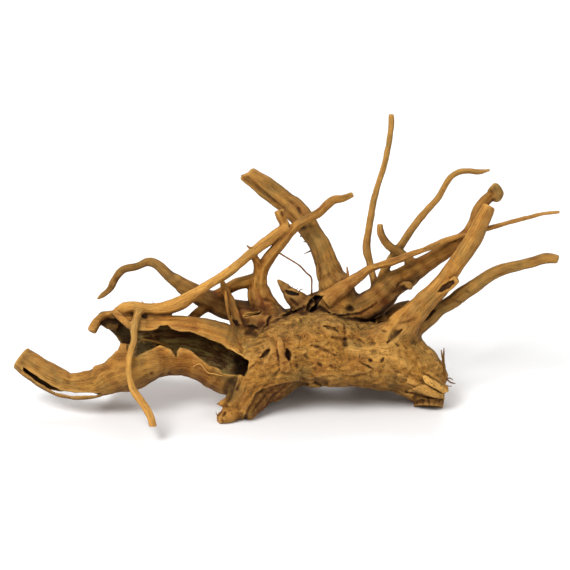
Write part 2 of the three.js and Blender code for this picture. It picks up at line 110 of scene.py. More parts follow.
# Each limb is a list of [across, up, out, radius]
LIMBS = {
    "arch_twig_back_left": [
        [-188, -14, -52, 1.2], [-182, -10, -50, 2.6], [-175, -4, -48, 3.1], [-171, 4, -46, 3.6],
        [-162, 15, -43, 4], [-149, 18.5, -40, 4], [-136, 23, -34, 4.6], [-129, 21, -30, 5],
        [-115, 9, -24, 6], [-107, 3, -21, 7.2], [-99, -3, -20, 8.6], [-80, -13, -22, 10],
        [-60, -23, -25, 11], [-45, -26, -25, 11.5], [-27, -31, -24, 13], [-12, -46, -18, 13],
    ],
    "strut_under_arch": [[-78, -22, -20, 5], [-90, -31, -12, 5], [-96, -40, -4, 6]],
    "long_front_limb": [
        [-171, -26, 14, 2.2], [-167, -26, 14, 5], [-160, -24, 14, 7], [-153, -22.5, 14, 6.6],
        [-135, -24.5, 14, 5.8], [-125, -24, 13, 6.5], [-115, -22, 12, 7.5], [-105, -18, 11, 7.5],
        [-95, -12, 10, 6.5], [-85, -6, 9, 5.2], [-75, 1, 7, 4.7], [-55, 13.6, 3, 4.7],
        [-35, 31, -3, 4.7], [-15, 45.5, -9, 5.8], [3, 58, -12, 5.6],
    ],
    "stub_on_front_limb": [[1, 58, -12, 4.6], [-4, 68, -14, 4.9], [-6.5, 75, -15, 5.4]],
    "fork": [
        [-10, -42, -14, 18], [-18, -25, -17, 14], [-25, -11, -16, 12], [-26.5, 0, -15, 8.5],
        [-24, 13, -14, 7], [-19, 23, -13, 6.3], [-11, 33, -12, 5.8], [-2, 44, -12, 5.3],
        [7, 55, -13, 5.3], [15, 61.5, -14, 4.6], [25, 67, -16, 4.5], [35, 73, -18, 4.8],
        [43, 81, -19, 4.5], [50, 85.5, -20, 4.2], [57, 86.5, -21, 3.6], [68, 91, -22, 3],
    ],
    "prong_of_fork": [[-24, 10, -14, 6], [-28, 23, -9, 4], [-33, 30, -4, 3.6]],
    "arch_to_back_limb": [
        [-24, 2, -15, 6], [-32, 5, -16, 6.3], [-40, 3, -17, 6.3], [-48, 1, -19, 6.3],
        [-57, -4, -21, 5.6], [-69, -12, -24, 6],
    ],
    "thick_middle_limb": [
        [52, -44, -16, 26], [52, -26, -18, 24], [52, -8, -20, 19], [46, 9, -24, 13.5],
        [41, 23, -28, 11.6], [35.5, 37, -33, 11], [27.5, 51, -38, 10.4], [18.5, 65, -44, 11.2],
        [11, 74, -48, 11.4], [-1, 85.5, -54, 9.8], [-15, 96, -60, 9.2], [-26, 104.5, -65, 8.6],
        [-36, 111, -69, 8], [-43, 115.5, -72, 7.6],
    ],
    "flat_strip_of_middle_limb": [
        [-45, 107.5, -68, 1.2], [-36, 102, -65, 3], [-24, 92.5, -60, 3.6], [-13, 83.5, -55, 3.4],
        [-4, 76, -50, 2.6],
    ],
    "horn_by_middle_limb": [
        [22, -26, -8, 14], [15, -18, -6, 10.5], [8, -12, -5, 8.5], [2, -5, -6, 5.6],
        [-3, 1, -7, 3.4], [-7.5, 5.5, -8, 1.4],
    ],
    "dark_stump": [[-50, -32, -20, 9], [-36, -36, -12, 13], [-20, -42, -6, 17], [0, -46, -4, 18]],
    "stick_before_arch": [
        [-63, 4, -6, 2.5], [-60, -5, -7, 4.2], [-55, -15, -7, 4.8], [-51, -25, -5, 4.2],
        [-47, -35, -2, 4], [-43, -46, 2, 4],
    ],
    "hanging_twig": [
        [-146, -28, 16, 5], [-149, -35, 28, 4], [-151, -45, 43, 3.8], [-151, -55, 50, 3.4],
        [-155, -70, 54, 3.2], [-156.5, -85, 56, 3], [-155.5, -95, 58, 3], [-152, -105, 61, 3.7],
        [-145, -115, 66, 3.8], [-138, -125, 72, 4], [-133.5, -135, 78, 3.8], [-131, -147, 83, 3.6],
        [-131, -159, 86, 3.8],
    ],
    "long_thin_limb": [
        [40, -17, 0, 10], [53, -7, 0, 8.4], [65, 2, -2, 6.4], [75, 9, -4, 5.2], [83, 15.5, -5, 4.4],
        [93, 19, -6, 3.8], [105, 22.5, -7, 4], [115, 26, -7, 3.6], [127, 31, -7, 2.9],
        [139, 35, -7, 2.6], [149, 39, -7, 3.2], [160, 44.5, -6, 3.2], [171, 48, -6, 3],
        [200, 55.7, -3, 2.6], [220, 61.5, 1, 2.3], [245, 68, 6, 2.1], [260, 71.4, 9, 2],
        [275, 73, 12, 1.7],
    ],
    "upright_twig": [
        [92, -14, -26, 6], [89, 4, -32, 3.5], [86.5, 15, -34, 3.6], [84.5, 24, -36, 3.8],
        [81.7, 35, -37, 4.3], [82, 45, -38, 3.7], [85.5, 65, -39, 3.4], [89, 85, -41, 3.1],
        [94.5, 105, -43, 3], [100.5, 125, -44, 3], [104.5, 145, -46, 2.9], [106.7, 161, -47, 3.2],
        [106, 171, -48, 2.9],
    ],
    "curved_twig": [
        [98, -6, -26, 7], [96, 4, -27, 4.4], [104, 23, -29, 4], [111, 33, -30, 4.3],
        [122, 49, -32, 4], [135, 67, -34, 3.6], [143, 76, -36, 3.3], [152, 86, -38, 3.2],
        [162, 103, -41, 3], [168, 109.3, -42, 3], [176, 113.3, -42, 2.9], [185, 114, -41, 2.7],
        [193, 113, -40, 2.7], [205, 115, -38, 1.7],
    ],
    "hooked_twig": [
        [128, 20, -28, 6], [119, 30, -28, 4.1], [112, 34, -28, 4.3], [104, 39, -26, 4.1],
        [99, 45, -25, 4], [95.5, 52, -23, 3.8], [95, 61, -22, 3],
    ],
    "rear_right_limb": [
        [60, -30, -14, 15], [83, -21, -17, 15], [96, -11.5, -22, 14.4], [107, 0, -26, 13.2],
        [118, 6, -28, 12.2], [130, 13.5, -28, 10], [143, 22.5, -26, 9], [155, 30.5, -23, 8.5],
        [167, 38, -19, 7.7], [177, 45, -14, 8], [186.5, 54, -11, 8], [191, 65, -14, 6.6],
        [194, 75, -19, 6.4], [199, 82.5, -24, 6], [206, 89, -28, 5.4],
    ],
    "wart_on_rear_limb": [[118, 2, -20, 5], [123, -0.5, -16, 4.4], [127, -3.5, -14, 3]],
    "knob_on_rear_limb": [
        [206, 99, -31, 4.4], [209, 96, -31, 6.6], [211.5, 91, -30, 7], [208, 85, -28, 4.6],
    ],
    "front_right_limb": [
        [100, -60, 14, 20], [115, -45, 16, 15.5], [127, -31, 16, 13], [139, -18, 16, 11],
        [151, -6, 15, 10], [162, 8, 14, 9.3], [172, 22, 13, 9], [181, 35, 12, 9],
        [189, 48, 10, 9], [196, 62, 8, 8], [204, 79, 5, 6.6],
    ],
    "stub_on_front_right_limb": [[153, -9, 14, 6], [163, -2, 22, 4.8], [172, 6, 28, 4.2]],
    "low_right_limb": [
        [108, -64, 0, 16], [123, -49, 0, 11], [133, -41, -2, 8.8], [144, -33.5, -3, 7.8],
        [154, -24, -3, 7], [165, -18, -2, 7], [177, -9.5, 0, 7.3], [189, -1.5, 2, 7],
        [201, 7, 4, 6.5], [213, 13.5, 6, 6], [225, 17.5, 8, 5.5], [237, 20.3, 10, 5.3],
        [249, 23.3, 12, 5.2], [260, 26.8, 14, 5.4], [268, 26.6, 15.5, 5.2], [273, 25.2, 16.5, 4.6],
    ],
    "web_behind_hole": [
        [12, -40, -6, 7], [18, -24, -14, 8], [26, -18, -24, 9], [36, -15, -30, 9.5],
        [48, -16, -30, 9], [58, -34, -22, 10],
    ],
    "knob_at_torn_edge": [[-163.5, -61, 40, 3.6], [-158.5, -63.5, 42, 4.6]],
    "backing_under_front_limb": [[-158, -38, 2, 5], [-144, -33, 3, 5.2], [-128, -37, 2, 5]],
    "torn_tongue": [
        [-182.5, -29, -13, 2.4], [-181, -34, -13, 4], [-176, -38.5, -14, 5.6], [-169, -39, -16, 6],
    ],
    "mound_behind_burl": [
        [-28, -58, -14, 9], [-16, -41, -24, 9], [0, -33, -20, 9.5], [12, -34, -20, 9],
        [26, -52, -14, 9],
    ],
    "dark_stub_behind": [
        [54, -66, -16, 12], [70, -46, -32, 12], [84, -39, -34, 10.5], [93, -37.5, -32, 9.4],
        [101, -33, -36, 6.6], [113, -25, -40, 7], [126, -19, -43, 5],
    ],
    "back_limb": [
        [62, -46, -30, 20], [66, -44, -60, 13], [72, -46, -84, 9.5], [84, -50, -104, 7.6],
        [90, -52, -124, 6.2], [88, -50, -142, 5.2], [92, -46, -158, 4.4],
    ],
    "back_twig": [
        [76, -48, -88, 6], [92, -40, -100, 5], [104, -40, -116, 4.2], [116, -46, -128, 3.4],
        [124, -48, -142, 2.4],
    ],
    "back_limb_left": [
        [8, -58, -30, 18], [-4, -56, -56, 12], [-16, -58, -78, 8.6], [-26, -62, -96, 6.6],
        [-30, -66, -112, 5], [-40, -68, -124, 3.6],
    ],
    "back_twig_left": [
        [-14, -57, -74, 6], [-2, -46, -88, 4.4], [8, -44, -104, 3.6], [12, -50, -122, 2.6],
    ],
}

# Limbs that pass behind the burl's crust, with a crease towards the viewer where they meet it
CRISP_JOINTS = (
    "fork", "thick_middle_limb", "horn_by_middle_limb", "dark_stump", "rear_right_limb",
    "long_thin_limb", "dark_stub_behind", "mound_behind_burl", "stick_before_arch",
    "arch_twig_back_left",
)

# How wide the joints flare: far behind, how much less towards the viewer, and the depths between
# which it changes. A crisp joint's is a share of the limb's radius, the trunk's is in mm.
CRISP_FLARE = (0.7, 0.5, -42, -26)
TRUNK_FLARE = (8, 5, -14, 6)

# Thin rootlets of [across, up, out, radius], sunk into what they grow from
ROOTLETS = {
    "wiry_rootlet": [
        [-9, 34, -12, 1.2], [-5.5, 32, -8, 0.95], [0, 28.5, -4, 0.8], [6.5, 24.6, -1, 0.85],
        [15, 19, -1, 0.8], [21.5, 12, -2, 0.85], [26, 8, -5, 0.9], [26.7, -2, -12, 0.8],
        [26.5, -12, -20, 1.2],
    ],
    "hanging_rootlet": [
        [-60, -6, -3, 2], [-59, -13, 3, 1.7], [-57, -28, 14, 1.3], [-53.5, -40, 22, 1.1],
        [-49, -55, 32, 1.1], [-43, -65, 36, 1.2], [-35.5, -75, 38, 1], [-32, -80, 34, 1.2],
    ],
    "second_strand": [
        [-60, -8, -1, 1.6], [-58, -20, 4, 1.1], [-55, -32, 4, 1], [-50, -42, 4, 1.2],
    ],
    "twig_behind_thin_limb": [[62, 18, -4, 0.8], [62.6, 13, -3.5, 1.2], [63.5, 3, -2, 1.7]],
    "rootlet_on_burl": [[92, -34, -26, 1.5], [91.5, -40, -8, 1.2], [91, -51, 6, 1.3]],
    "nub_on_front_limb": [[-38, 39.5, -2, 0.8], [-35, 37, -2, 1.6], [-30, 36, -3, 2.4]],
    "spur_on_left_foot": [[-68, -119, 33, 0.7], [-62, -118, 32, 2], [-52, -117, 30, 3.2]],
}

# Fibres and splinters of [across, up, lift off the wood behind, radius]
FIBRES = {
    "splinter_in_hollow": [
        [-144, -54, 2, 0.8], [-134, -55.5, 5, 1.2], [-124, -58, 4, 1.3], [-118, -59.5, 0, 1],
    ],
    "pale_fibre": [
        [-92, -82, 0.2, 0.4], [-88, -79.4, 1.4, 0.5], [-85, -78.8, 1.6, 0.5], [-81, -83, 1.4, 0.5],
        [-77, -87.6, 1, 0.5], [-70, -89, 0.8, 0.5], [-62, -91, 0.1, 0.4],
    ],
    "fibre_at_window": [
        [-54, -63, 0.2, 0.6], [-49, -67, 1.2, 0.6], [-43, -70, 1, 0.6], [-39, -73, 0.2, 0.5],
    ],
    "crack_fibre": [[-42, -31, 0.4, 0.8], [-34, -29.5, 1.4, 1], [-25, -26.5, 0.2, 0.7]],
}

# Hairs of [across, up, out, radius] that stand clear of the wood
HAIRS = {
    "hair_at_foot": [
        [157, -98, 6, 1.6], [159.5, -86, 10, 1.4], [158.2, -75, 11, 1.5], [158.6, -70, 11, 1],
        [159, -63, 12, 0.5],
    ],
    "hair_fork": [[158.6, -78, 11, 1.1], [157, -71, 10, 0.9], [156.2, -65, 9, 0.6]],
    "hair_fork_left": [[158.4, -81, 11, 0.5], [155, -77, 9, 0.4], [154, -73, 9, 0.25]],
    "low_hair": [[155, -90, 4, 1.2], [162, -94.5, 8, 0.9], [166, -97.5, 9, 0.8], [170.5, -98.5, 9, 0.4]],
    "low_hair_fork": [[161, -94, 8, 0.7], [165, -93, 8, 0.6], [168, -95, 9, 0.4]],
    "lower_hair": [[156, -97, 6, 0.6], [163, -101, 8, 0.5], [167, -101, 8, 0.3]],
    "upper_spike": [[19, 56, -46, 1.6], [17, 51, -42, 1.2], [15.4, 48.2, -40, 0.6]],
    "middle_spike": [[29, 43.5, -40, 1.2], [23, 43, -38, 0.9], [18.6, 43.4, -37, 0.5]],
    "lower_spike": [[32, 36.5, -36, 1.4], [26.5, 34.5, -34, 1], [19, 31, -32, 0.4]],
    "small_spike": [[28, 39, -38, 1.2], [25, 38.6, -37, 0.5]],
    "hair_on_limb": [[-139, -21, 12, 0.5], [-142, -17.6, 13, 0.4], [-144, -15.5, 13, 0.25]],
    "short_hair_on_limb": [[-131, -19.5, 12, 0.5], [-132.4, -16.4, 12, 0.25]],
    "hair_at_tip": [[-66, -132, 35, 0.6], [-68.5, -129, 36, 0.4], [-69, -126.5, 36, 0.25]],
    "horn_fibre": [[0, -1.5, -6, 0.6], [3.5, 1.2, -5, 0.3]],
    "horn_fibre_middle": [[4, -4, -6, 0.6], [8, -1.5, -5, 0.3]],
    "horn_fibre_right": [[9, -6, -6, 0.6], [13, -3.4, -5, 0.3]],
    "horn_fibre_long": [[13, -8.5, -6, 0.6], [15.5, -4.5, -5, 0.5], [18, -4, -4, 0.3]],
    "broken_end_fibre": [[-36, 110, -66, 0.8], [-41, 110.5, -67, 0.5], [-44.4, 109, -68, 0.3]],
}

# The hollow trunk at the left, its lower wall drawn out in a bowed limb, the strip along its rim,
# the hook at its torn end and the hollow in it, as lists of [across, up, out, radius]
TRUNK = [
    [-183, -66, 4, 38], [-172, -67, 6, 40], [-160, -68, 8, 39], [-147, -65, 8, 35],
    [-133, -62, 8, 31.5], [-118, -60.5, 8, 29.8], [-100, -61, 8, 30.2], [-85, -63.6, 8, 31.4],
    [-70, -68.6, 6, 32], [-54, -76, 3, 34.5], [-32, -80, 0, 34],
]
BOWED_LIMB = [
    [-112, -74, 18, 9], [-126, -76, 25, 13], [-140, -78, 30, 17], [-156, -82, 28, 20],
    [-176, -91, 25, 17.5], [-190, -98, 22, 15], [-203, -101, 20, 14.2], [-217, -100.5, 18, 13.2],
    [-228, -96, 16, 13.7], [-240, -90, 14, 14.3], [-252, -82, 12, 13.6], [-265, -72.5, 10, 11.8],
]
RIM_STRIP = [
    [-171, -26, 20, 3.2], [-165, -32, 28, 3.6], [-158, -38.5, 34, 3.6], [-150, -45, 37, 3.4],
]
HOOK = [
    [-170, -29, -6, 4.4], [-179, -29.6, -7, 3.8], [-186, -34, -7, 3.9], [-190, -40, -6, 4.8],
    [-193.5, -46.5, -4, 5.2],
]
HOLLOW = [
    [-196, -54, 8, 30], [-180, -61.5, 7.5, 34], [-160, -66.5, 8, 34], [-147, -64, 8, 29],
    [-133, -62, 8, 24], [-118, -61, 8, 22.3], [-100, -62, 8, 23.5], [-85, -66, 8, 25],
    [-70, -71, 8, 24], [-54, -78, 8, 19], [-42, -84, 8, 10],
]

# Outlines of [across, up] points of what is cut out of the trunk, the bowed limb and a limb's end
WINDOW_OUTLINE = [
    [-171, -27.5], [-154, -45], [-147, -46], [-135, -46], [-127, -44], [-125, -41], [-117, -40],
    [-114, -44], [-105, -47], [-95, -47], [-85, -50], [-75, -55], [-65, -58], [-55, -65],
    [-42, -70], [-36, -76], [-39, -84], [-42, -91], [-55, -89], [-62, -88], [-67, -83],
    [-75, -81], [-85, -73], [-95, -65], [-105, -62], [-110, -71], [-114, -64], [-125, -60],
    [-135, -65], [-145, -69], [-152, -73], [-158, -64], [-164, -58], [-190, -50], [-196, -22],
]
HOLLOW_END_OUTLINE = [
    [-66, -66], [-56, -65.5], [-49, -68.5], [-42, -72.5], [-35.6, -76.5], [-38, -83.8],
    [-40.6, -90], [-48.6, -89.5], [-57, -88], [-66, -82],
]
TORN_EDGE_OUTLINE = [
    [-240, 10], [-184, -16], [-182, -29], [-181, -38], [-175, -45], [-168, -52], [-164, -58],
    [-165, -62.5], [-170, -67.5], [-176, -74], [-179, -79], [-185, -81], [-240, -90],
]
SLIT_OUTLINE = [
    [-262, -82], [-253, -88], [-243, -95], [-233, -101], [-225, -105], [-210, -108],
    [-197, -107.7], [-184, -108.6], [-190, -110.4], [-213, -111], [-230, -107.4],
    [-238, -102.6], [-248, -96.4], [-262, -86],
]
BROKEN_END_OUTLINE = [
    [-70, 102], [-47, 105.5], [-44, 108], [-41.5, 111], [-39, 112.4], [-36, 113.6], [-34.6, 116],
    [-31, 117.2], [-28.3, 118.2], [-24, 124], [-30, 140], [-70, 140],
]

# The depth from which the window and the slit are cut, and how far out each of them reaches
WINDOW_BACK = 8.0
WINDOW_REACH = 70.0
SLIT_FRONT = 60.0

# Holes cut straight through the joined wood: the outline, the depths between which it is cut, how
# ragged and how rounded its edge is, in mm, and the seed of its raggedness
HOLES = [
    (BROKEN_END_OUTLINE, -100.0, -40.0, 0.8, 0.8, 27),
    (HOLLOW_END_OUTLINE, -9.0, WINDOW_REACH, 0.6, 2.0, 29),
]

# The burl, a thick knotted body from [across, up, out, half height], how much deeper than high it
# is, and its lumps of [across, up, out, half width, half height, half depth]
BURL = [
    [-38, -82, 4, 22], [-28, -80, 4, 33], [-12, -76, 2, 35], [10, -65, -2, 36.5],
    [34, -64.5, -4, 38.5], [55, -68, -6, 34.5], [75, -70.5, -8, 33.5], [95, -72, -8, 33],
    [113, -75, -8, 30.5], [127, -82, -6, 26.5], [140, -91, -5, 22], [150, -98, -4, 16],
    [158, -102, -3, 8],
]
BURL_DEPTH_SHARE = 1.32
BURL_LUMPS = [
    [26, -27, -32, 22, 15, 16], [4, -66, 21, 28, 22, 22], [40, -48, 8, 28, 14, 28],
    [50, -84, 10, 32, 16, 28], [97, -80, 8, 32, 22, 28],
    [24, -60, -38, 34, 28, 26], [84, -66, -40, 34, 26, 22], [-8, -70, -26, 28, 26, 24],
]

# Ridges and split strips that stand out of the burl
RIDGES = {
    "ridge_down_left_foot": [
        [-22, -62, 30, 8], [-33, -76, 38, 8.5], [-38, -92, 38, 8], [-44, -108, 36, 7],
        [-54, -122, 34, 5],
    ],
    "stray_stick_left": [[-8, -51, 36, 3.4], [-6, -62, 44, 4], [-4, -74, 44, 3]],
    "split_strip_on_right_foot": [[132, -86, 18, 6], [146, -96, 20, 6.5], [160, -106, 14, 5]],
    "lower_strip_on_right_foot": [[122, -94, 22, 6.5], [138, -103, 18, 6], [152, -110, 13, 5]],
}

# The feet, thick root ends that reach the floor
FEET = {
    "left_foot": [
        [-20, -84, 12, 30], [-34, -103, 18, 21], [-44, -116, 23, 15], [-54, -128, 29, 9.5],
        [-62, -133, 33, 7], [-67, -134, 35, 4.4],
    ],
    "left_foot_heel": [
        [-16, -89, 8, 22], [-27, -108, 19, 15.5], [-37, -121.5, 27, 12.5], [-43, -131, 31, 9],
    ],
    "left_foot_spur": [[-46, -114, 26, 8], [-58, -117, 30, 4.5], [-66, -119, 32, 2.6]],
    "right_foot": [
        [126, -87, -2, 22], [139, -101, -3, 18.5], [144, -110, -3, 16], [144, -122.5, -2, 15],
    ],
    "right_foot_heel": [[122, -86, -4, 18], [139, -110, -3, 12]],
    "back_foot_left": [[14, -66, -40, 26], [8, -76, -68, 18], [2, -84, -86, 13], [-4, -92, -98, 10]],
    "back_foot_right": [
        [88, -68, -44, 24], [98, -78, -64, 16], [106, -86, -80, 12], [112, -94, -92, 9],
    ],
}

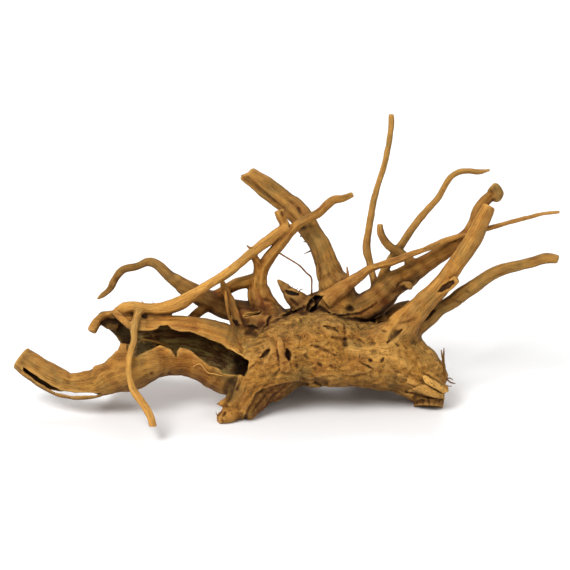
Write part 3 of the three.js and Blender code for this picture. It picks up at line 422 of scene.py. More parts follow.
# Marks that the front shows: [across, up] points, half width, depth pressed in (a welt where it
# is negative), what its colour leans to and how strongly, and how far back and out it reaches.
# Some of the dark marks are painted shade or painted shadow, as noted where they stand.
MARKS = [
    # the burl
    ([[-25, -72.5], [-20, -69], [-16, -65]], 2.6, 3.6, "dark", 0.85, -10, 70),
    ([[1.5, -64], [3, -68], [4.5, -75]], 2.6, 6, "dark", 1, -10, 70),
    ([[-8, -64], [-7, -70], [-5.5, -77]], 1.3, 1.6, "dark", 0.7, -10, 70),
    ([[39, -41.5], [45, -42.5], [53, -46]], 1.9, 2, "dark", 0.6, -10, 70),
    ([[59.5, -39], [60, -50]], 1.3, 1.4, "dark", 0.5, -10, 70),
    ([[60.3, -56], [60.7, -59]], 2.8, 2, "dark", 0.75, -10, 70),
    ([[26, -60], [37, -64], [50, -70]], 1.8, 1.3, "dark", 0.35, -10, 70),
    ([[46, -52], [56, -54], [70, -52], [80, -58]], 2.4, 1.2, "red", 0.5, -10, 70),
    ([[77, -78.5], [82, -80.5], [88, -84]], 1.1, 1.6, "dark", 0.95, -10, 70),
    ([[85, -75], [86, -75.6]], 1.5, 1.6, "dark", 0.95, -10, 70),
    ([[99, -73], [96, -78]], 1.5, 1.6, "dark", 0.8, -10, 70),
    ([[111, -87], [116, -88]], 1, 0.8, "dark", 0.6, -10, 70),
    ([[8, -73], [18, -77], [26, -80]], 5.5, 0, "dark", 0.35, -10, 70),
    ([[20, -70], [22, -72]], 1.4, 1.2, "dark", 0.7, -10, 70),
    ([[34, -79], [36, -80]], 1.5, 1.4, "dark", 0.7, -10, 70),
    ([[12, -80], [13, -82]], 1.4, 1.2, "dark", 0.7, -10, 70),
    ([[46, -82], [50, -83]], 1.6, 1.2, "red", 0.7, -10, 70),
    ([[31, -97], [41, -99]], 3.4, 3.2, "dark", 0.8, -10, 60),
    ([[102, -57.5], [106, -53], [111, -48], [117, -44]], 2.8, 2.6, "dark", 0.7, -10, 40),
    ([[96, -45], [103, -47]], 1.2, 1.2, "dark", 0.5, -10, 60),
    ([[10, -34], [34, -31], [50, -36]], 10, 0, "grey", 0.95, -60, 34),
    ([[56, -42], [86, -44]], 9, 0, "grey", 0.85, -60, 30),
    ([[-22, -54], [-6, -42], [10, -36]], 9, 0, "grey", 0.9, -60, 34),
    ([[140, -62], [152, -76], [159, -86]], 10, 0, "grey", 0.45, -60, 60),
    # Painted shade: dark creases where the limbs pass behind the burl's top edge
    ([[-26, -51], [-20, -44], [-12, -38.5], [0, -31], [11, -26]], 2.4, 2.4, "dark", 0.85, -60, 20),
    ([[10, -26.5], [20, -23], [34, -22.5], [45, -28]], 2.2, 2.2, "dark", 0.85, -60, 20),
    ([[44, -28], [56, -32], [72, -35], [88, -36]], 2, 1.8, "dark", 0.8, -60, 20),
    ([[-14, -62], [-16, -74]], 8, 0, "pale", 0.55, 10, 70),
    ([[8, -60], [26, -64], [44, -62]], 6, 0, "pale", 0.3, 10, 70),
    ([[36, -92], [52, -93]], 5.5, 0, "pale", 0.55, -10, 60),
    ([[62, -88], [112, -94]], 6, 0, "pale", 0.35, -10, 60),
    ([[40, -76], [72, -72], [90, -66]], 9, 0, "red", 0.3, 10, 70),
    ([[66, -62], [100, -66], [126, -80]], 12, 0, "pale", 0.8, 10, 70),
    ([[100, -44], [112, -58], [120, -64]], 8, 0, "pale", 0.7, 0, 60),
    ([[138, -62], [146, -70], [154, -82]], 10, 0, "pale", 0.65, -60, 60),
    # the left foot
    ([[6, -102], [-12, -110], [-30, -122]], 6.5, 0, "red", 0.6, -30, 60),
    # Painted shade in the recess between the trunk and the left foot
    ([[-57, -94], [-50, -103], [-55, -113]], 8.5, 0, "dark", 0.85, -60, 80),
    ([[-58, -96], [-50, -106]], 8.5, 0, "grey", 0.6, -60, 80),
    ([[-60, -126], [-66, -134]], 6, 0, "red", 0.75, 10, 60),
    ([[-59, -127], [-62, -131]], 1.5, 1.4, "dark", 0.7, 10, 60),
    ([[-64, -127], [-66, -130]], 1.3, 1.4, "dark", 0.7, 10, 60),
    ([[-63, -135], [-61, -138]], 1.5, 1.2, "dark", 0.7, 10, 60),
    ([[-14, -68], [-24, -86], [-33, -100], [-44, -118]], 4, -1.2, "pale", 0.2, 10, 80),
    ([[-6, -84], [-14, -96], [-24, -106]], 3, 1.2, "dark", 0.25, 10, 80),
    ([[-30, -78], [-42, -92], [-48, -104]], 2.2, 1.6, "dark", 0.35, 10, 80),
    ([[4, -102], [-12, -112], [-26, -126]], 8, 0, "red", 0.8, -30, 60),
    ([[-4, -104], [-14, -112], [-20, -124]], 1.2, 0.5, "dark", 0.9, -30, 60),
    ([[-18, -108], [-26, -118], [-34, -128]], 1.4, 0.6, "dark", 0.95, -30, 60),
    # the right foot
    ([[141, -99.5], [149, -104], [158, -109]], 0.9, 1.6, "dark", 1, -30, 60),
    # Painted shadow: a dark line above the upper plank
    ([[137, -87], [148, -93], [160, -101]], 1.2, 0.8, "dark", 0.4, -30, 60),
    ([[120, -107], [131, -109], [144, -112.6], [158, -114.4]], 1.1, 1.4, "dark", 0.9, -30, 60),
    ([[108, -93], [122, -99], [136, -104]], 1, 0.8, "dark", 0.5, -30, 60),
    ([[104, -86], [120, -94], [138, -101]], 5, 0, "pale", 0.7, -10, 60),
    ([[131, -116], [133, -121]], 1.2, 0.4, "dark", 1, -60, 60),
    ([[137, -113], [139, -121]], 1.1, 0.4, "dark", 1, -60, 60),
    ([[148, -115], [149, -122]], 1.2, 0.4, "dark", 1, -60, 60),
    ([[154, -116], [154, -121]], 1, 0.3, "dark", 0.9, -60, 60),
    ([[110, -102], [124, -107]], 3.4, 0.6, "dark", 0.5, -30, 60),
    ([[143, -112], [145, -122]], 1.3, 0.8, "dark", 1, -60, 60),
    # the horn, the dark hole beside it and the thick middle limb
    ([[0, -2], [8, -13], [18, -26]], 12, 0, "red", 1, -30, 14),
    ([[4, -10], [12, -18], [18, -28]], 12, 0, "dark", 0.84, -30, 16),
    ([[6, -4], [17, -11], [26, -19]], 12, 0, "red", 1, -30, 14),
    ([[2, -6], [16, -12], [24, -20]], 11, 0, "dark", 0.68, -30, 16),
    ([[36, -24], [48, -11], [62, 1], [76, 11]], 7, 0, "red", 0.8, -14, 16),
    ([[44, -24], [58, -10], [70, 0]], 3, 0, "dark", 0.5, -20, 12),
    ([[138, 35.5], [147, 38], [155, 41.5]], 1.8, 0.7, "dark", 0.95, -20, 10),
    ([[31, 32], [34, 14], [34, -4]], 2.6, 0, "dark", 0.45, -60, -16),
    ([[62, 0], [50, -30]], 8, 0, "dark", 0.35, -60, -18),
    ([[6, -14], [12, -20]], 1.6, 1.4, "dark", 0.6, -14, 12),
    ([[-10, 75], [-4, 76.5]], 2.8, 0.8, "red", 0.85, -30, 6),
    ([[-4, 74], [-2, 68]], 1.3, 1.2, "dark", 0.8, -30, 6),
    ([[-41, 106], [-25, 92], [-8, 78]], 3.4, 0, "dark", 0.35, -90, -40),
    ([[-38, 108.5], [-22, 94.5], [-6, 81]], 1, 1, "dark", 0.4, -90, -40),
    ([[13, 79], [20, 69]], 5, 0, "red", 0.75, -70, -30),
    ([[13, 78], [15, 72]], 1.4, 1, "dark", 0.7, -70, -30),
    ([[16, 57], [25, 58]], 3.6, 1.2, "dark", 0.95, -70, -30),
    ([[34, 22], [36, 4]], 1.3, 1.2, "dark", 0.6, -60, -10),
    # Painted shade at the bottom of the thick middle limb
    ([[50, -12], [64, -6]], 4.5, 0, "dark", 0.5, -60, -6),
    ([[-7, 4], [6, -4], [22, -9]], 2.2, 0, "pale", 0.3, -30, 12),
    ([[3, -8], [14, -16], [12, -26]], 6, 0, "dark", 0.5, -40, 20),
    # the rear right limb
    ([[66, -34], [86, -26], [104, -14]], 9, 0, "red", 0.7, -44, 14),
    # Painted shade under the rear right limb
    ([[82, -37], [98, -28], [113, -14]], 6, 0, "dark", 0.85, -50, 12),
    ([[44, -24], [58, -29], [74, -31]], 6, 0, "dark", 0.4, -40, 14),
    ([[111, -4], [113, 1], [119, 4.5], [125, 4]], 1.1, 0.9, "dark", 0.85, -40, 30),
    ([[116, -3], [121, 0.5], [126, 0]], 0.9, 0.7, "dark", 0.8, -40, 30),
    ([[119, -6], [126, -7], [130, -1]], 1.6, 0.6, "dark", 1, -40, 30),
    # Painted shade where the upright twig goes behind the limbs
    ([[88, 6], [88, -8]], 3.2, 0, "dark", 0.8, -70, -24),
    ([[64, -23.4], [66, -24]], 3, 3, "dark", 0.95, -20, 30),
    ([[53, -31], [75, -28.5], [86, -22], [92, -17]], 1.2, 1.6, "dark", 0.85, -30, 30),
    # Painted shadow under the rear right limb, also pressed in
    ([[80, -37], [95, -28], [112, -12]], 2, 1.6, "dark", 0.75, -40, 30),
    ([[108, -8], [118, -3], [125, -6]], 2.4, 1.4, "dark", 0.6, -40, 30),
    ([[124, -4], [128, -5]], 3, 0, "dark", 0.95, -40, 30),
    # the front right limb, its broken stub and the low right limb
    ([[113, -38.5], [124, -36], [131, -32]], 1.2, 1, "dark", 0.6, -10, 50),
    ([[132, -17], [143, -7]], 4, 0, "red", 0.65, -10, 50),
    ([[164, 11], [171, 20]], 3.2, 0, "red", 0.65, -10, 50),
    ([[111, -59], [113, -61]], 1.3, 1.2, "dark", 0.8, -10, 60),
    ([[135, -37], [141, -31], [149, -25]], 2.8, 2, "dark", 0.75, -20, 12),
    ([[180, -5], [185, -8]], 1.5, 0.4, "dark", 0.7, -20, 30),
    ([[166, -14], [177, -18]], 1.5, 0.4, "dark", 0.6, -20, 30),
    ([[260, 31.5], [266, 32]], 2.2, 0, "dark", 0.9, -20, 40),
    # the foot of the fork
    ([[-28, -6], [-22, -20], [-6, -38]], 11, 0, "red", 1, -40, 30),
    ([[-32, -14], [-26, -24], [-10, -36]], 8, 0, "dark", 0.68, -40, 30),
    ([[-12, -16], [-6, -28], [2, -36]], 4, 0, "dark", 0.75, -40, 30),
    ([[-20, -4], [-16, -10]], 3, 0, "red", 0.8, -40, 30),
    ([[-22, -14], [-14, -16]], 1.6, 0.8, "dark", 0.7, -40, 30),
    ([[-42, -37], [-28, -40], [-16, -42]], 10, 0, "dark", 0.78, -40, 30),
    ([[-42, -30], [-26, -36], [-12, -34]], 11, 0, "red", 0.95, -40, 30),
    ([[-52, -36], [-46, -40]], 2.4, 3, "dark", 0.9, -40, 30),
    ([[-38, -48], [-30, -50]], 3, 2, "dark", 0.8, -40, 30),
    ([[-12, -24], [-4, -38]], 5, 0, "dark", 0.5, -40, 30),
    ([[14, -20], [10, -28]], 6, 0, "red", 0.7, -40, 20),
    ([[20, -14], [24, -22]], 5, 0, "dark", 0.5, -40, 20),
    ([[-37, -41], [-28, -44]], 2.4, 3.2, "dark", 0.9, -40, 30),
    ([[-14, -31], [-18, -40]], 1.9, 2.8, "dark", 0.8, -40, 30),
    ([[-23, -12], [-22, -22], [-19, -28]], 1.8, 0.4, "dark", 0.45, -40, 30),
    ([[-29, -14], [-32, -24]], 1.6, 0.4, "dark", 0.5, -40, 30),
    # the trunk
    ([[-185, -76], [-150, -92], [-110, -84], [-80, -92]], 3, 0, "grey", 0.35, 0, 60),
    # Painted shade along the top of the hollow, under its shell
    ([[-156, -48], [-120, -44], [-90, -50], [-60, -62]], 6, 0, "dark", 0.7, -60, 6),
    ([[-48, -76], [-44, -82], [-48, -88]], 9, 0, "dark", 0.97, -60, 26),
    ([[-76, -88], [-60, -91], [-50, -98]], 9, 0, "dark", 0.4, -60, 80),
    # Painted shade in a recess under the long front limb and a painted shadow in the slot beside it
    ([[-150, -32], [-150.5, -39]], 3, 1, "dark", 1, -20, 22),
    ([[-146, -30.5], [-140, -33]], 2.4, 1, "dark", 0.9, -20, 22),
    ([[-161, -62], [-157, -64]], 5, 0, "red", 0.9, 20, 60),
    ([[-112, -61], [-110, -66], [-108.5, -71]], 1.7, 2.6, "dark", 0.9, 0, 60),
    ([[-134, -88], [-133, -88.4]], 1.5, 1.2, "dark", 0.8, 10, 60),
    ([[-116, -88], [-114, -89]], 1.6, 1.2, "dark", 0.8, 10, 60),
    ([[-126, -91], [-108, -90], [-90, -94]], 4.5, 0, "red", 0.35, 0, 60),
    ([[-60, -84], [-52, -90]], 4, 0, "dark", 0.6, 0, 60),
    ([[-263, -75], [-261, -82]], 3.5, 0, "dark", 0.5, -10, 40),
    ([[-196, -84], [-180, -80]], 6, 0, "grey", 0.5, 0, 60),
    ([[-164, -84], [-160, -60]], 5, 0, "red", 0.45, 0, 60),
    ([[-146, -38], [-130, -36]], 7, 0, "grey", 0.4, 0, 60),
]
LEANINGS = ["dark", "red", "grey", "pale"]

# Plates with a crisp edge that the front shows: [across, up] outline, height (sunk where it is
# negative), what its colour leans to and how strongly, and how far back and out it reaches
PLATES = [
    # the split planks and the cut end of the right foot
    ([[137, -90.5], [140.5, -90], [151, -96], [163.5, -104.8], [163.3, -107], [158, -108.2],
      [149, -103], [141.5, -98.8], [138.5, -95.5]], 2.2, "pale", 1.2, -30, 60),
    ([[122, -106.2], [129, -103], [136, -100], [142, -99.8], [149.5, -104.4], [158, -109.4],
      [160, -113.3], [151, -113.2], [143, -110.6], [133, -107.6]], 1.2, "pale", 0.9, -30, 60),
    ([[127.5, -111], [133, -109.5], [143, -112], [152, -114.6], [159.5, -114.4], [159.5, -117.5],
      [156, -127], [134, -127], [126, -117]], -0.9, "dark", 0.7, -60, 60),
    # the underside of the left foot, sunk and darkened as painted shade
    ([[-29, -107.5], [-22, -104], [-13, -101], [-1, -98], [14, -96], [24, -98], [16, -118],
      [0, -130], [-20, -140], [-44, -140], [-38, -125], [-33, -116]], -2.2, "dark", 0.6, -60, 60),
    # the broken stick on the burl
    ([[-7.5, -52.5], [-4.5, -51.5], [-2, -54], [-0.5, -65], [4, -76], [6.5, -84], [2, -88],
      [-5, -86], [-6.5, -73], [-8, -60]], 1.5, "red", 0.45, 0, 80),
    # the horn's crack, the dark hole beside it, and the cracks under the fork and in the stub
    ([[0, -5.3], [4, -5.6], [11, -7.4], [14.5, -8.8], [13, -10.8], [7, -10.6], [1.8, -8.8]],
     -2.4, "dark", 1, -24, 14),
    ([[39.5, -10.2], [36, -11.2], [31.4, -10.4], [27.5, -12.3], [24.3, -15.5], [22, -19.5], [21, -26],
      [26, -28], [30.5, -26], [32, -21.5], [35, -16.5]], -5, "dark", 0.9, -60, 24),
    ([[-42.5, -32], [-37, -29.4], [-29, -27.6], [-23, -26], [-25.5, -29], [-33, -30.8], [-39, -31.8]],
     -4, "dark", 1, -40, 30),
    ([[152.3, -6.8], [157, -1], [164, 3.5], [169.2, 4.8], [169.6, 1.6], [164, -3.4], [156, -7.2]],
     -2.2, "dark", 0.85, 10, 44),
    # the hollow's broken edge and the dark wall at its torn end
    ([[-149, -58.2], [-144, -55.5], [-135, -57.5], [-123.5, -59], [-128, -62.2], [-136, -64.4],
      [-141, -68], [-149, -72]], 0.8, "dark", 0.85, -60, 10),
    ([[-186, -26], [-175, -24], [-166, -27], [-158, -36], [-154, -45], [-153, -58], [-164, -62],
      [-172, -50], [-180, -42], [-188, -36]], 0, "dark", 0.88, -80, -2),
]


def to_room(places):
    """Drawn places [across, up, out] in mm, set back into the room, in metres.

    What lies further out is drawn larger, so across and up shrink by out / VIEW_DISTANCE, and
    then the drawing leans back by VIEW_TILT and stands on the floor.
    """
    across, up, out = (places[..., i] for i in range(3))
    shrink = 1.0 - out / VIEW_DISTANCE
    lean, rise = math.sin(VIEW_TILT), math.cos(VIEW_TILT)
    room = (
        across * shrink - MIDDLE_ACROSS,
        up * shrink * lean - out * rise - MIDDLE_BACK,
        up * shrink * rise + out * lean + FLOOR_UNDER_DRAWING,
    )
    return np.stack(room, axis=-1) * MILLIMETRE


def noise(places, size, seed):
    """Gradient noise of places divided by size, from about -1 to 1.

    Each corner of a cube of space has a slope worked out from its whole numbers by a hash, and a
    place mixes the slopes of its eight corners by an easing curve.
    """
    scaled = np.asarray(places, np.float32) / np.asarray(size, np.float32)
    cell = np.floor(scaled)
    part = scaled - cell
    ease = part * part * part * (part * (part * 6 - 15) + 10)
    corner = cell.astype(np.int64).astype(np.uint32)
    total = np.zeros(scaled.shape[:-1], np.float32)
    for step in np.ndindex(2, 2, 2):
        mixed = np.uint32(seed * 2654435 + 97)
        for axis, prime in enumerate(HASH_PRIMES):
            mixed = mixed ^ (corner[..., axis] + np.uint32(step[axis])) * np.uint32(prime)
        mixed = (mixed ^ (mixed >> np.uint32(15))) * np.uint32(2246822519)
        mixed ^= mixed >> np.uint32(13)
        value = np.zeros_like(total)
        weight = np.ones_like(total)
        for axis in range(3):
            slope = ((mixed >> np.uint32(10 * axis)) & np.uint32(1023)).astype(np.float32) / 511.5 - 1
            value += slope * (part[..., axis] - step[axis])
            weight *= ease[..., axis] if step[axis] else 1 - ease[..., axis]
        total += value * weight
    return total * 1.3


def layered(places, size, seed, layers=3):
    """Layers of noise, each half as large and half as strong as the one before."""
    size = np.asarray(size, np.float32)
    return sum(noise(places, size / 2**i, seed + 17 * i) / 2**i for i in range(layers))


def eased(value, low, high):
    """0 at low, 1 at high, and a smooth S between them."""
    t = np.clip((value - low) / (high - low), 0, 1)
    return t * t * (3 - 2 * t)


def joined(a, b, blend):
    """The smaller of two fields, and less than both where they come within blend of each other."""
    share = np.maximum(blend - np.abs(a - b), 0) / blend
    return np.minimum(a, b) - share * share * blend * 0.25


def cut(a, b, blend):
    """Field a with the solid of field b taken out, its edge rounded by blend."""
    return -joined(-a, b, blend)


def path_of(rows, step=4.0):
    """The centripetal Catmull-Rom curve through the rows' points, and the radius eased along it.

    Each span between two rows is a cubic of t from 0 to 1 whose end slopes come from the square
    roots of the gaps to the neighbouring points. The arc length, the direction and two steady
    cross directions are kept for each place of the path.
    """
    rows = np.asarray(rows, float)
    points = rows[:, :3]
    ends = np.vstack([2 * points[0] - points[1], points, 2 * points[-1] - points[-2]])
    gaps = np.sqrt(np.linalg.norm(np.diff(ends, axis=0), axis=1))[:, None]
    before, here, after = gaps[:-2], gaps[1:-1], gaps[2:]
    p0, p1, p2, p3 = ends[:-3], ends[1:-2], ends[2:-1], ends[3:]
    leave = here * ((p1 - p0) / before - (p2 - p0) / (before + here) + (p2 - p1) / here)
    arrive = here * ((p2 - p1) / here - (p3 - p1) / (here + after) + (p3 - p2) / after)
    places, radii = [points[:1]], [rows[:1, 3]]
    for i in range(len(points) - 1):
        count = max(1, round(float(np.linalg.norm(points[i + 1] - points[i])) / step))
        t = np.arange(1, count + 1)[:, None] / count
        cubic = p1[i] + leave[i] * t
        cubic = cubic + (-3 * p1[i] + 3 * p2[i] - 2 * leave[i] - arrive[i]) * t**2
        cubic = cubic + (2 * p1[i] - 2 * p2[i] + leave[i] + arrive[i]) * t**3
        places.append(cubic)
        radii.append(rows[i, 3] + (rows[i + 1, 3] - rows[i, 3]) * eased(t[:, 0], 0, 1))
    places, radii = np.vstack(places), np.concatenate(radii)
    along = np.gradient(places, axis=0)
    along /= np.linalg.norm(along, axis=1)[:, None]
    arc = np.concatenate([[0], np.cumsum(np.linalg.norm(np.diff(places, axis=0), axis=1))])
    choices = np.array([[0, 0, 1], [1, 0, 0], [0, 1, 0], [0.7, 0.7, 0], [0.7, -0.7, 0]])
    steady = choices[np.argmin(np.abs(along @ choices.T).max(axis=0))]
    side = np.cross(along, steady)
    side /= np.linalg.norm(side, axis=1)[:, None]
    return SimpleNamespace(
        places=places, radii=radii, arc=arc, along=along, side=side, cross=np.cross(side, along)
    )


def straightened(path, places, arc):
    """Places near a path as [along it, to its side, across its side], as if it were straight."""
    centre, side, cross = (
        np.stack([np.interp(arc, path.arc, table[:, i]) for i in range(3)], axis=-1)
        for table in (path.places, path.side, path.cross)
    )
    off = places - centre
    return np.stack([arc, (off * side).sum(-1), (off * cross).sum(-1)], axis=-1)


class Field:
    """A box of evenly spaced places, with the field's value at each of them."""

    def __init__(self, low, high, step):
        self.low = np.asarray(low, float)
        self.step = step
        shape = np.ceil((np.asarray(high) - self.low) / step).astype(int) + 1
        self.value = np.full(shape, FAR, np.float32)

    def window(self, low, high):
        """The slices of the box between two corners."""
        first = np.floor((np.asarray(low) - self.low) / self.step).astype(int)
        last = np.ceil((np.asarray(high) - self.low) / self.step).astype(int) + 1
        first = np.clip(first, 0, self.value.shape)
        last = np.clip(last, 0, self.value.shape)
        return tuple(slice(a, b) for a, b in zip(first, last))

    def axes(self, window):
        """The across, up and out values of a window, ready to be combined."""
        lines = [
            (self.low[i] + self.step * np.arange(part.start, part.stop)).astype(np.float32)
            for i, part in enumerate(window)
        ]
        return lines[0][:, None, None], lines[1][None, :, None], lines[2][None, None, :]

    def places(self, window, chosen):
        """The places of a window where chosen is true, as rows."""
        index = np.argwhere(chosen) + np.array([part.start for part in window])
        return (self.low + index * self.step).astype(np.float32)

    def at(self, places):
        """The field at any places, mixed from the eight grid values round each."""
        scaled = (places - self.low) / self.step
        cell = np.clip(np.floor(scaled).astype(int), 0, np.array(self.value.shape) - 2)
        part = scaled - cell
        total = np.zeros(len(places))
        for step in np.ndindex(2, 2, 2):
            weight = np.prod([part[:, i] if step[i] else 1 - part[:, i] for i in range(3)], axis=0)
            total += weight * self.value[tuple(cell[:, i] + step[i] for i in range(3))]
        return total

    def slope(self, places, reach):
        """The direction in which the field grows, from differences over reach."""
        steps = np.eye(3) * reach
        return np.stack([self.at(places + s) - self.at(places - s) for s in steps], axis=-1)


def swept(field, path, reach, depth_share=1.0):
    """The distance to a path less its radius, and the arc place, in the window round the path.

    A depth share widens the section towards the viewer by that share.
    """
    stretch = np.array([1, 1, depth_share])
    spread = (path.radii.max() + reach) * stretch
    window = field.window((path.places - spread).min(axis=0), (path.places + spread).max(axis=0))
    shape = tuple(part.stop - part.start for part in window)
    distance = np.full(shape, FAR, np.float32)
    arc = np.zeros(shape, np.float32)
    starts = [part.start for part in window]
    for i in range(len(path.places) - 1):
        a, b = path.places[i], path.places[i + 1]
        ra, rb = path.radii[i], path.radii[i + 1]
        room = (max(ra, rb) + reach) * stretch
        small = field.window(np.minimum(a, b) - room, np.maximum(a, b) + room)
        inner = tuple(slice(s.start - o, s.stop - o) for s, o in zip(small, starts))
        x, y, z = field.axes(small)
        x, y, z = x - a[0], y - a[1], (z - a[2]) / depth_share
        step = (b - a) / stretch
        t = (x * step[0] + y * step[1] + z * step[2]) / float(step @ step)
        t = np.clip(t, 0, 1).astype(np.float32)
        gap = (x - t * step[0]) ** 2 + (y - t * step[1]) ** 2 + (z - t * step[2]) ** 2
        gap = np.sqrt(gap) - (ra + t * (rb - ra))
        nearer = gap < distance[inner]
        distance[inner] = np.where(nearer, gap, distance[inner])
        place = path.arc[i] + t * (path.arc[i + 1] - path.arc[i])
        arc[inner] = np.where(nearer, place, arc[inner])
    return window, distance, arc


def flat_ends(field, window, distance, path, rounding=1.2):
    """Cuts a swept limb square at both ends of its path."""
    x, y, z = field.axes(window)
    for place, away in ((path.places[0], -path.along[0]), (path.places[-1], path.along[-1])):
        beyond = (x - place[0]) * away[0] + (y - place[1]) * away[1] + (z - place[2]) * away[2]
        distance = cut(distance, -beyond, rounding)
    return distance


def relief_of_limb(path, places, arc, seed):
    """How far a limb's wood stands out, as a share of its radius: slow swellings and flutes."""
    here = straightened(path, places, arc)
    radius = np.interp(arc, path.arc, path.radii)[..., None]
    around = here[..., 1:] / np.maximum(radius, 1)
    swelling = noise(np.concatenate([here[..., :1] / 26, around * 0.8], axis=-1), 1, seed)
    flutes = noise(np.concatenate([here[..., :1] / 60, around * 2.1], axis=-1), 1, seed + 5)
    knots = noise(np.concatenate([here[..., :1] / 9, around * 0.5], axis=-1), 1, seed + 9)
    thin = 1 - eased(radius[..., 0], 2.5, 7)
    return (0.11 + 0.08 * thin) * swelling + 0.09 * flutes + (0.06 + 0.12 * thin) * knots


def limb_field(field, rows, seed, unevenness=1.0, depth_share=1.0):
    """The field of one limb: its sweep, its relief and its square ends."""
    path = path_of(rows, step=max(2.5, 0.35 * min(row[3] for row in rows)))
    window, distance, arc = swept(field, path, LIMB_REACH, depth_share)
    near = np.abs(distance) < LIMB_REACH
    places = field.places(window, near)
    here = arc[near]
    radius = np.interp(here, path.arc, path.radii)
    relief = relief_of_limb(path, places, here, seed) * np.minimum(radius, 14)
    distance[near] -= (relief * unevenness).astype(np.float32)
    return window, flat_ends(field, window, distance, path), arc, path


def flare(out, behind, lost, back, front):
    """How wide a joint flares at a depth: as behind, less what is lost from back to front."""
    return behind - lost * eased(out, back, front)


def grow(field, rows, seed, blend_share=0.55, unevenness=1.0, depth_share=1.0, crisp=False):
    """Joins a limb to the wood, with a wider flare where the limb is thicker.

    A crisp joint has hardly any flare on the side towards the viewer.
    """
    window, distance, arc, path = limb_field(field, rows, seed, unevenness, depth_share)
    radius = np.interp(arc, path.arc, path.radii).astype(np.float32)
    if crisp:
        blend_share = flare(field.axes(window)[2], *CRISP_FLARE)
    blend = np.clip(radius * blend_share, 1.2, LIMB_REACH).astype(np.float32)
    field.value[window] = joined(field.value[window], distance, blend)


def grow_lump(field, lump):
    """Joins a rounded lump: the distance to a ball, in a space stretched to its half sizes."""
    centre, half = np.array(lump[:3], float), np.array(lump[3:], float)
    window = field.window(centre - half - LIMB_REACH, centre + half + LIMB_REACH)
    axes = field.axes(window)
    share = np.sqrt(sum(((axes[i] - centre[i]) / half[i]) ** 2 for i in range(3)))
    distance = (share - 1) * float(half.min())
    field.value[window] = joined(field.value[window], distance.astype(np.float32), LIMB_REACH)


def outline_distance(outline, across, up):
    """The distance to a closed outline in the drawing, negative inside it."""
    outline = np.asarray(outline, float)
    nearest = np.full(np.broadcast(across, up).shape, 1e9)
    inside = np.zeros(nearest.shape, bool)
    for a, b in zip(outline, np.roll(outline, -1, axis=0)):
        step = b - a
        t = np.clip(((across - a[0]) * step[0] + (up - a[1]) * step[1]) / (step @ step), 0, 1)
        gap = np.hypot(across - a[0] - t * step[0], up - a[1] - t * step[1])
        nearest = np.minimum(nearest, gap)
        crosses = (a[1] > up) != (b[1] > up)
        rise = step[1] if step[1] else 1e-9
        inside ^= crosses & (across < a[0] + (up - a[1]) / rise * step[0])
    return np.where(inside, -nearest, nearest)


def cutter(field, window, outline, back, front, ragged, seed):
    """The field of a straight cutter with a ragged outline, from one depth to another."""
    x, y, z = field.axes(window)
    flat = np.stack(np.broadcast_arrays(x[:, :, 0], y[:, :, 0], np.float32(seed)), axis=-1)
    shift = [ragged * layered(flat, 7.0, seed + i, 3) for i in range(2)]
    edge = outline_distance(outline, x[:, :, 0] + shift[0], y[:, :, 0] + shift[1])
    return np.maximum(np.maximum(edge[:, :, None], back - z), z - front).astype(np.float32)


def window_round(field, drawn, margin, back, front):
    """The window round drawn [across, up] points, wider by a margin, from one depth to another."""
    drawn = np.asarray(drawn, float)
    low, high = drawn.min(axis=0) - margin, drawn.max(axis=0) + margin
    return field.window([*low, back], [*high, front])


def cut_hole(field, outline, back, front, ragged, rounding, seed):
    """Cuts a straight hole with a ragged outline through the wood, from one depth to another."""
    window = window_round(field, outline, 4, back - 4, front)
    hole = cutter(field, window, outline, back, front, ragged, seed)
    field.value[window] = cut(field.value[window], hole, rounding)


def depth_reach(out, back, front, before, within):
    """1 between two depths and 0 outside them, eased from before each to within it."""
    return eased(out, back - before, back + within) * (
        1 - eased(out, front - within, front + before)
    )


def mark_share(line, half_width, across, up, seed):
    """How strongly a mark shows, from 0 outside it to 1 in its middle.

    The mark is narrower towards both ends of a long line, and its edge wanders by noise.
    """
    line = np.asarray(line, float)
    flat = np.stack(np.broadcast_arrays(across, up, np.float32(3.1 * seed)), axis=-1)
    wander = [
        half_width * (
            0.5 * noise(flat, 3.5 * half_width, seed + i)
            + 0.3 * noise(flat, 1.6 * half_width, seed + 9 + i)
        )
        for i in range(2)
    ]
    x, y = across + wander[0], up + wander[1]
    lengths = np.linalg.norm(np.diff(line, axis=0), axis=1)
    whole = lengths.sum()
    least = np.full(flat.shape[:-1], 1e9)
    starts = np.cumsum(lengths) - lengths
    for a, step, start, length in zip(line, np.diff(line, axis=0), starts, lengths):
        t = np.clip(((x - a[0]) * step[0] + (y - a[1]) * step[1]) / length**2, 0, 1)
        gap = np.hypot(x - a[0] - t * step[0], y - a[1] - t * step[1])
        near_end = np.minimum(start + t * length, whole - start - t * length)
        taper = 0.35 + 0.65 * eased(near_end, 0, 0.4 * whole) if whole > 3 * half_width else 1.0
        least = np.minimum(least, gap / (half_width * taper))
    return 1 - eased(least, 0.0, 1.6)


def plate_edge(outline, across, up, seed):
    """The distance to a plate's outline, which wanders a little by noise."""
    flat = np.stack(np.broadcast_arrays(across, up, np.float32(3.1 * seed)), axis=-1)
    shift = [0.6 * noise(flat, 4.0, seed + i) for i in range(2)]
    return outline_distance(outline, across + shift[0], up + shift[1])


def lift(field, outline, height, back, front, seed):
    """Lifts the wood inside an outline by a height with a crisp edge, or sinks it."""
    window = window_round(field, outline, 4, back, front)
    x, y, z = field.axes(window)
    edge = plate_edge(outline, x[:, :, 0], y[:, :, 0], seed)[:, :, None]
    value = field.value[window]
    if height > 0:
        changed = np.minimum(value, np.maximum(edge, value - height))
    else:
        changed = np.maximum(value, np.minimum(-edge, value - height))
    reach = depth_reach(z, back, front, 0, 4) * facing(field, value)
    field.value[window] = (value + reach * (changed - value)).astype(np.float32)


def facing(field, value):
    """How far the wood at each place faces the viewer, from 0 to 1, by the field's slope outwards."""
    return eased(np.gradient(value, field.step, axis=2), -0.3, 0.2)


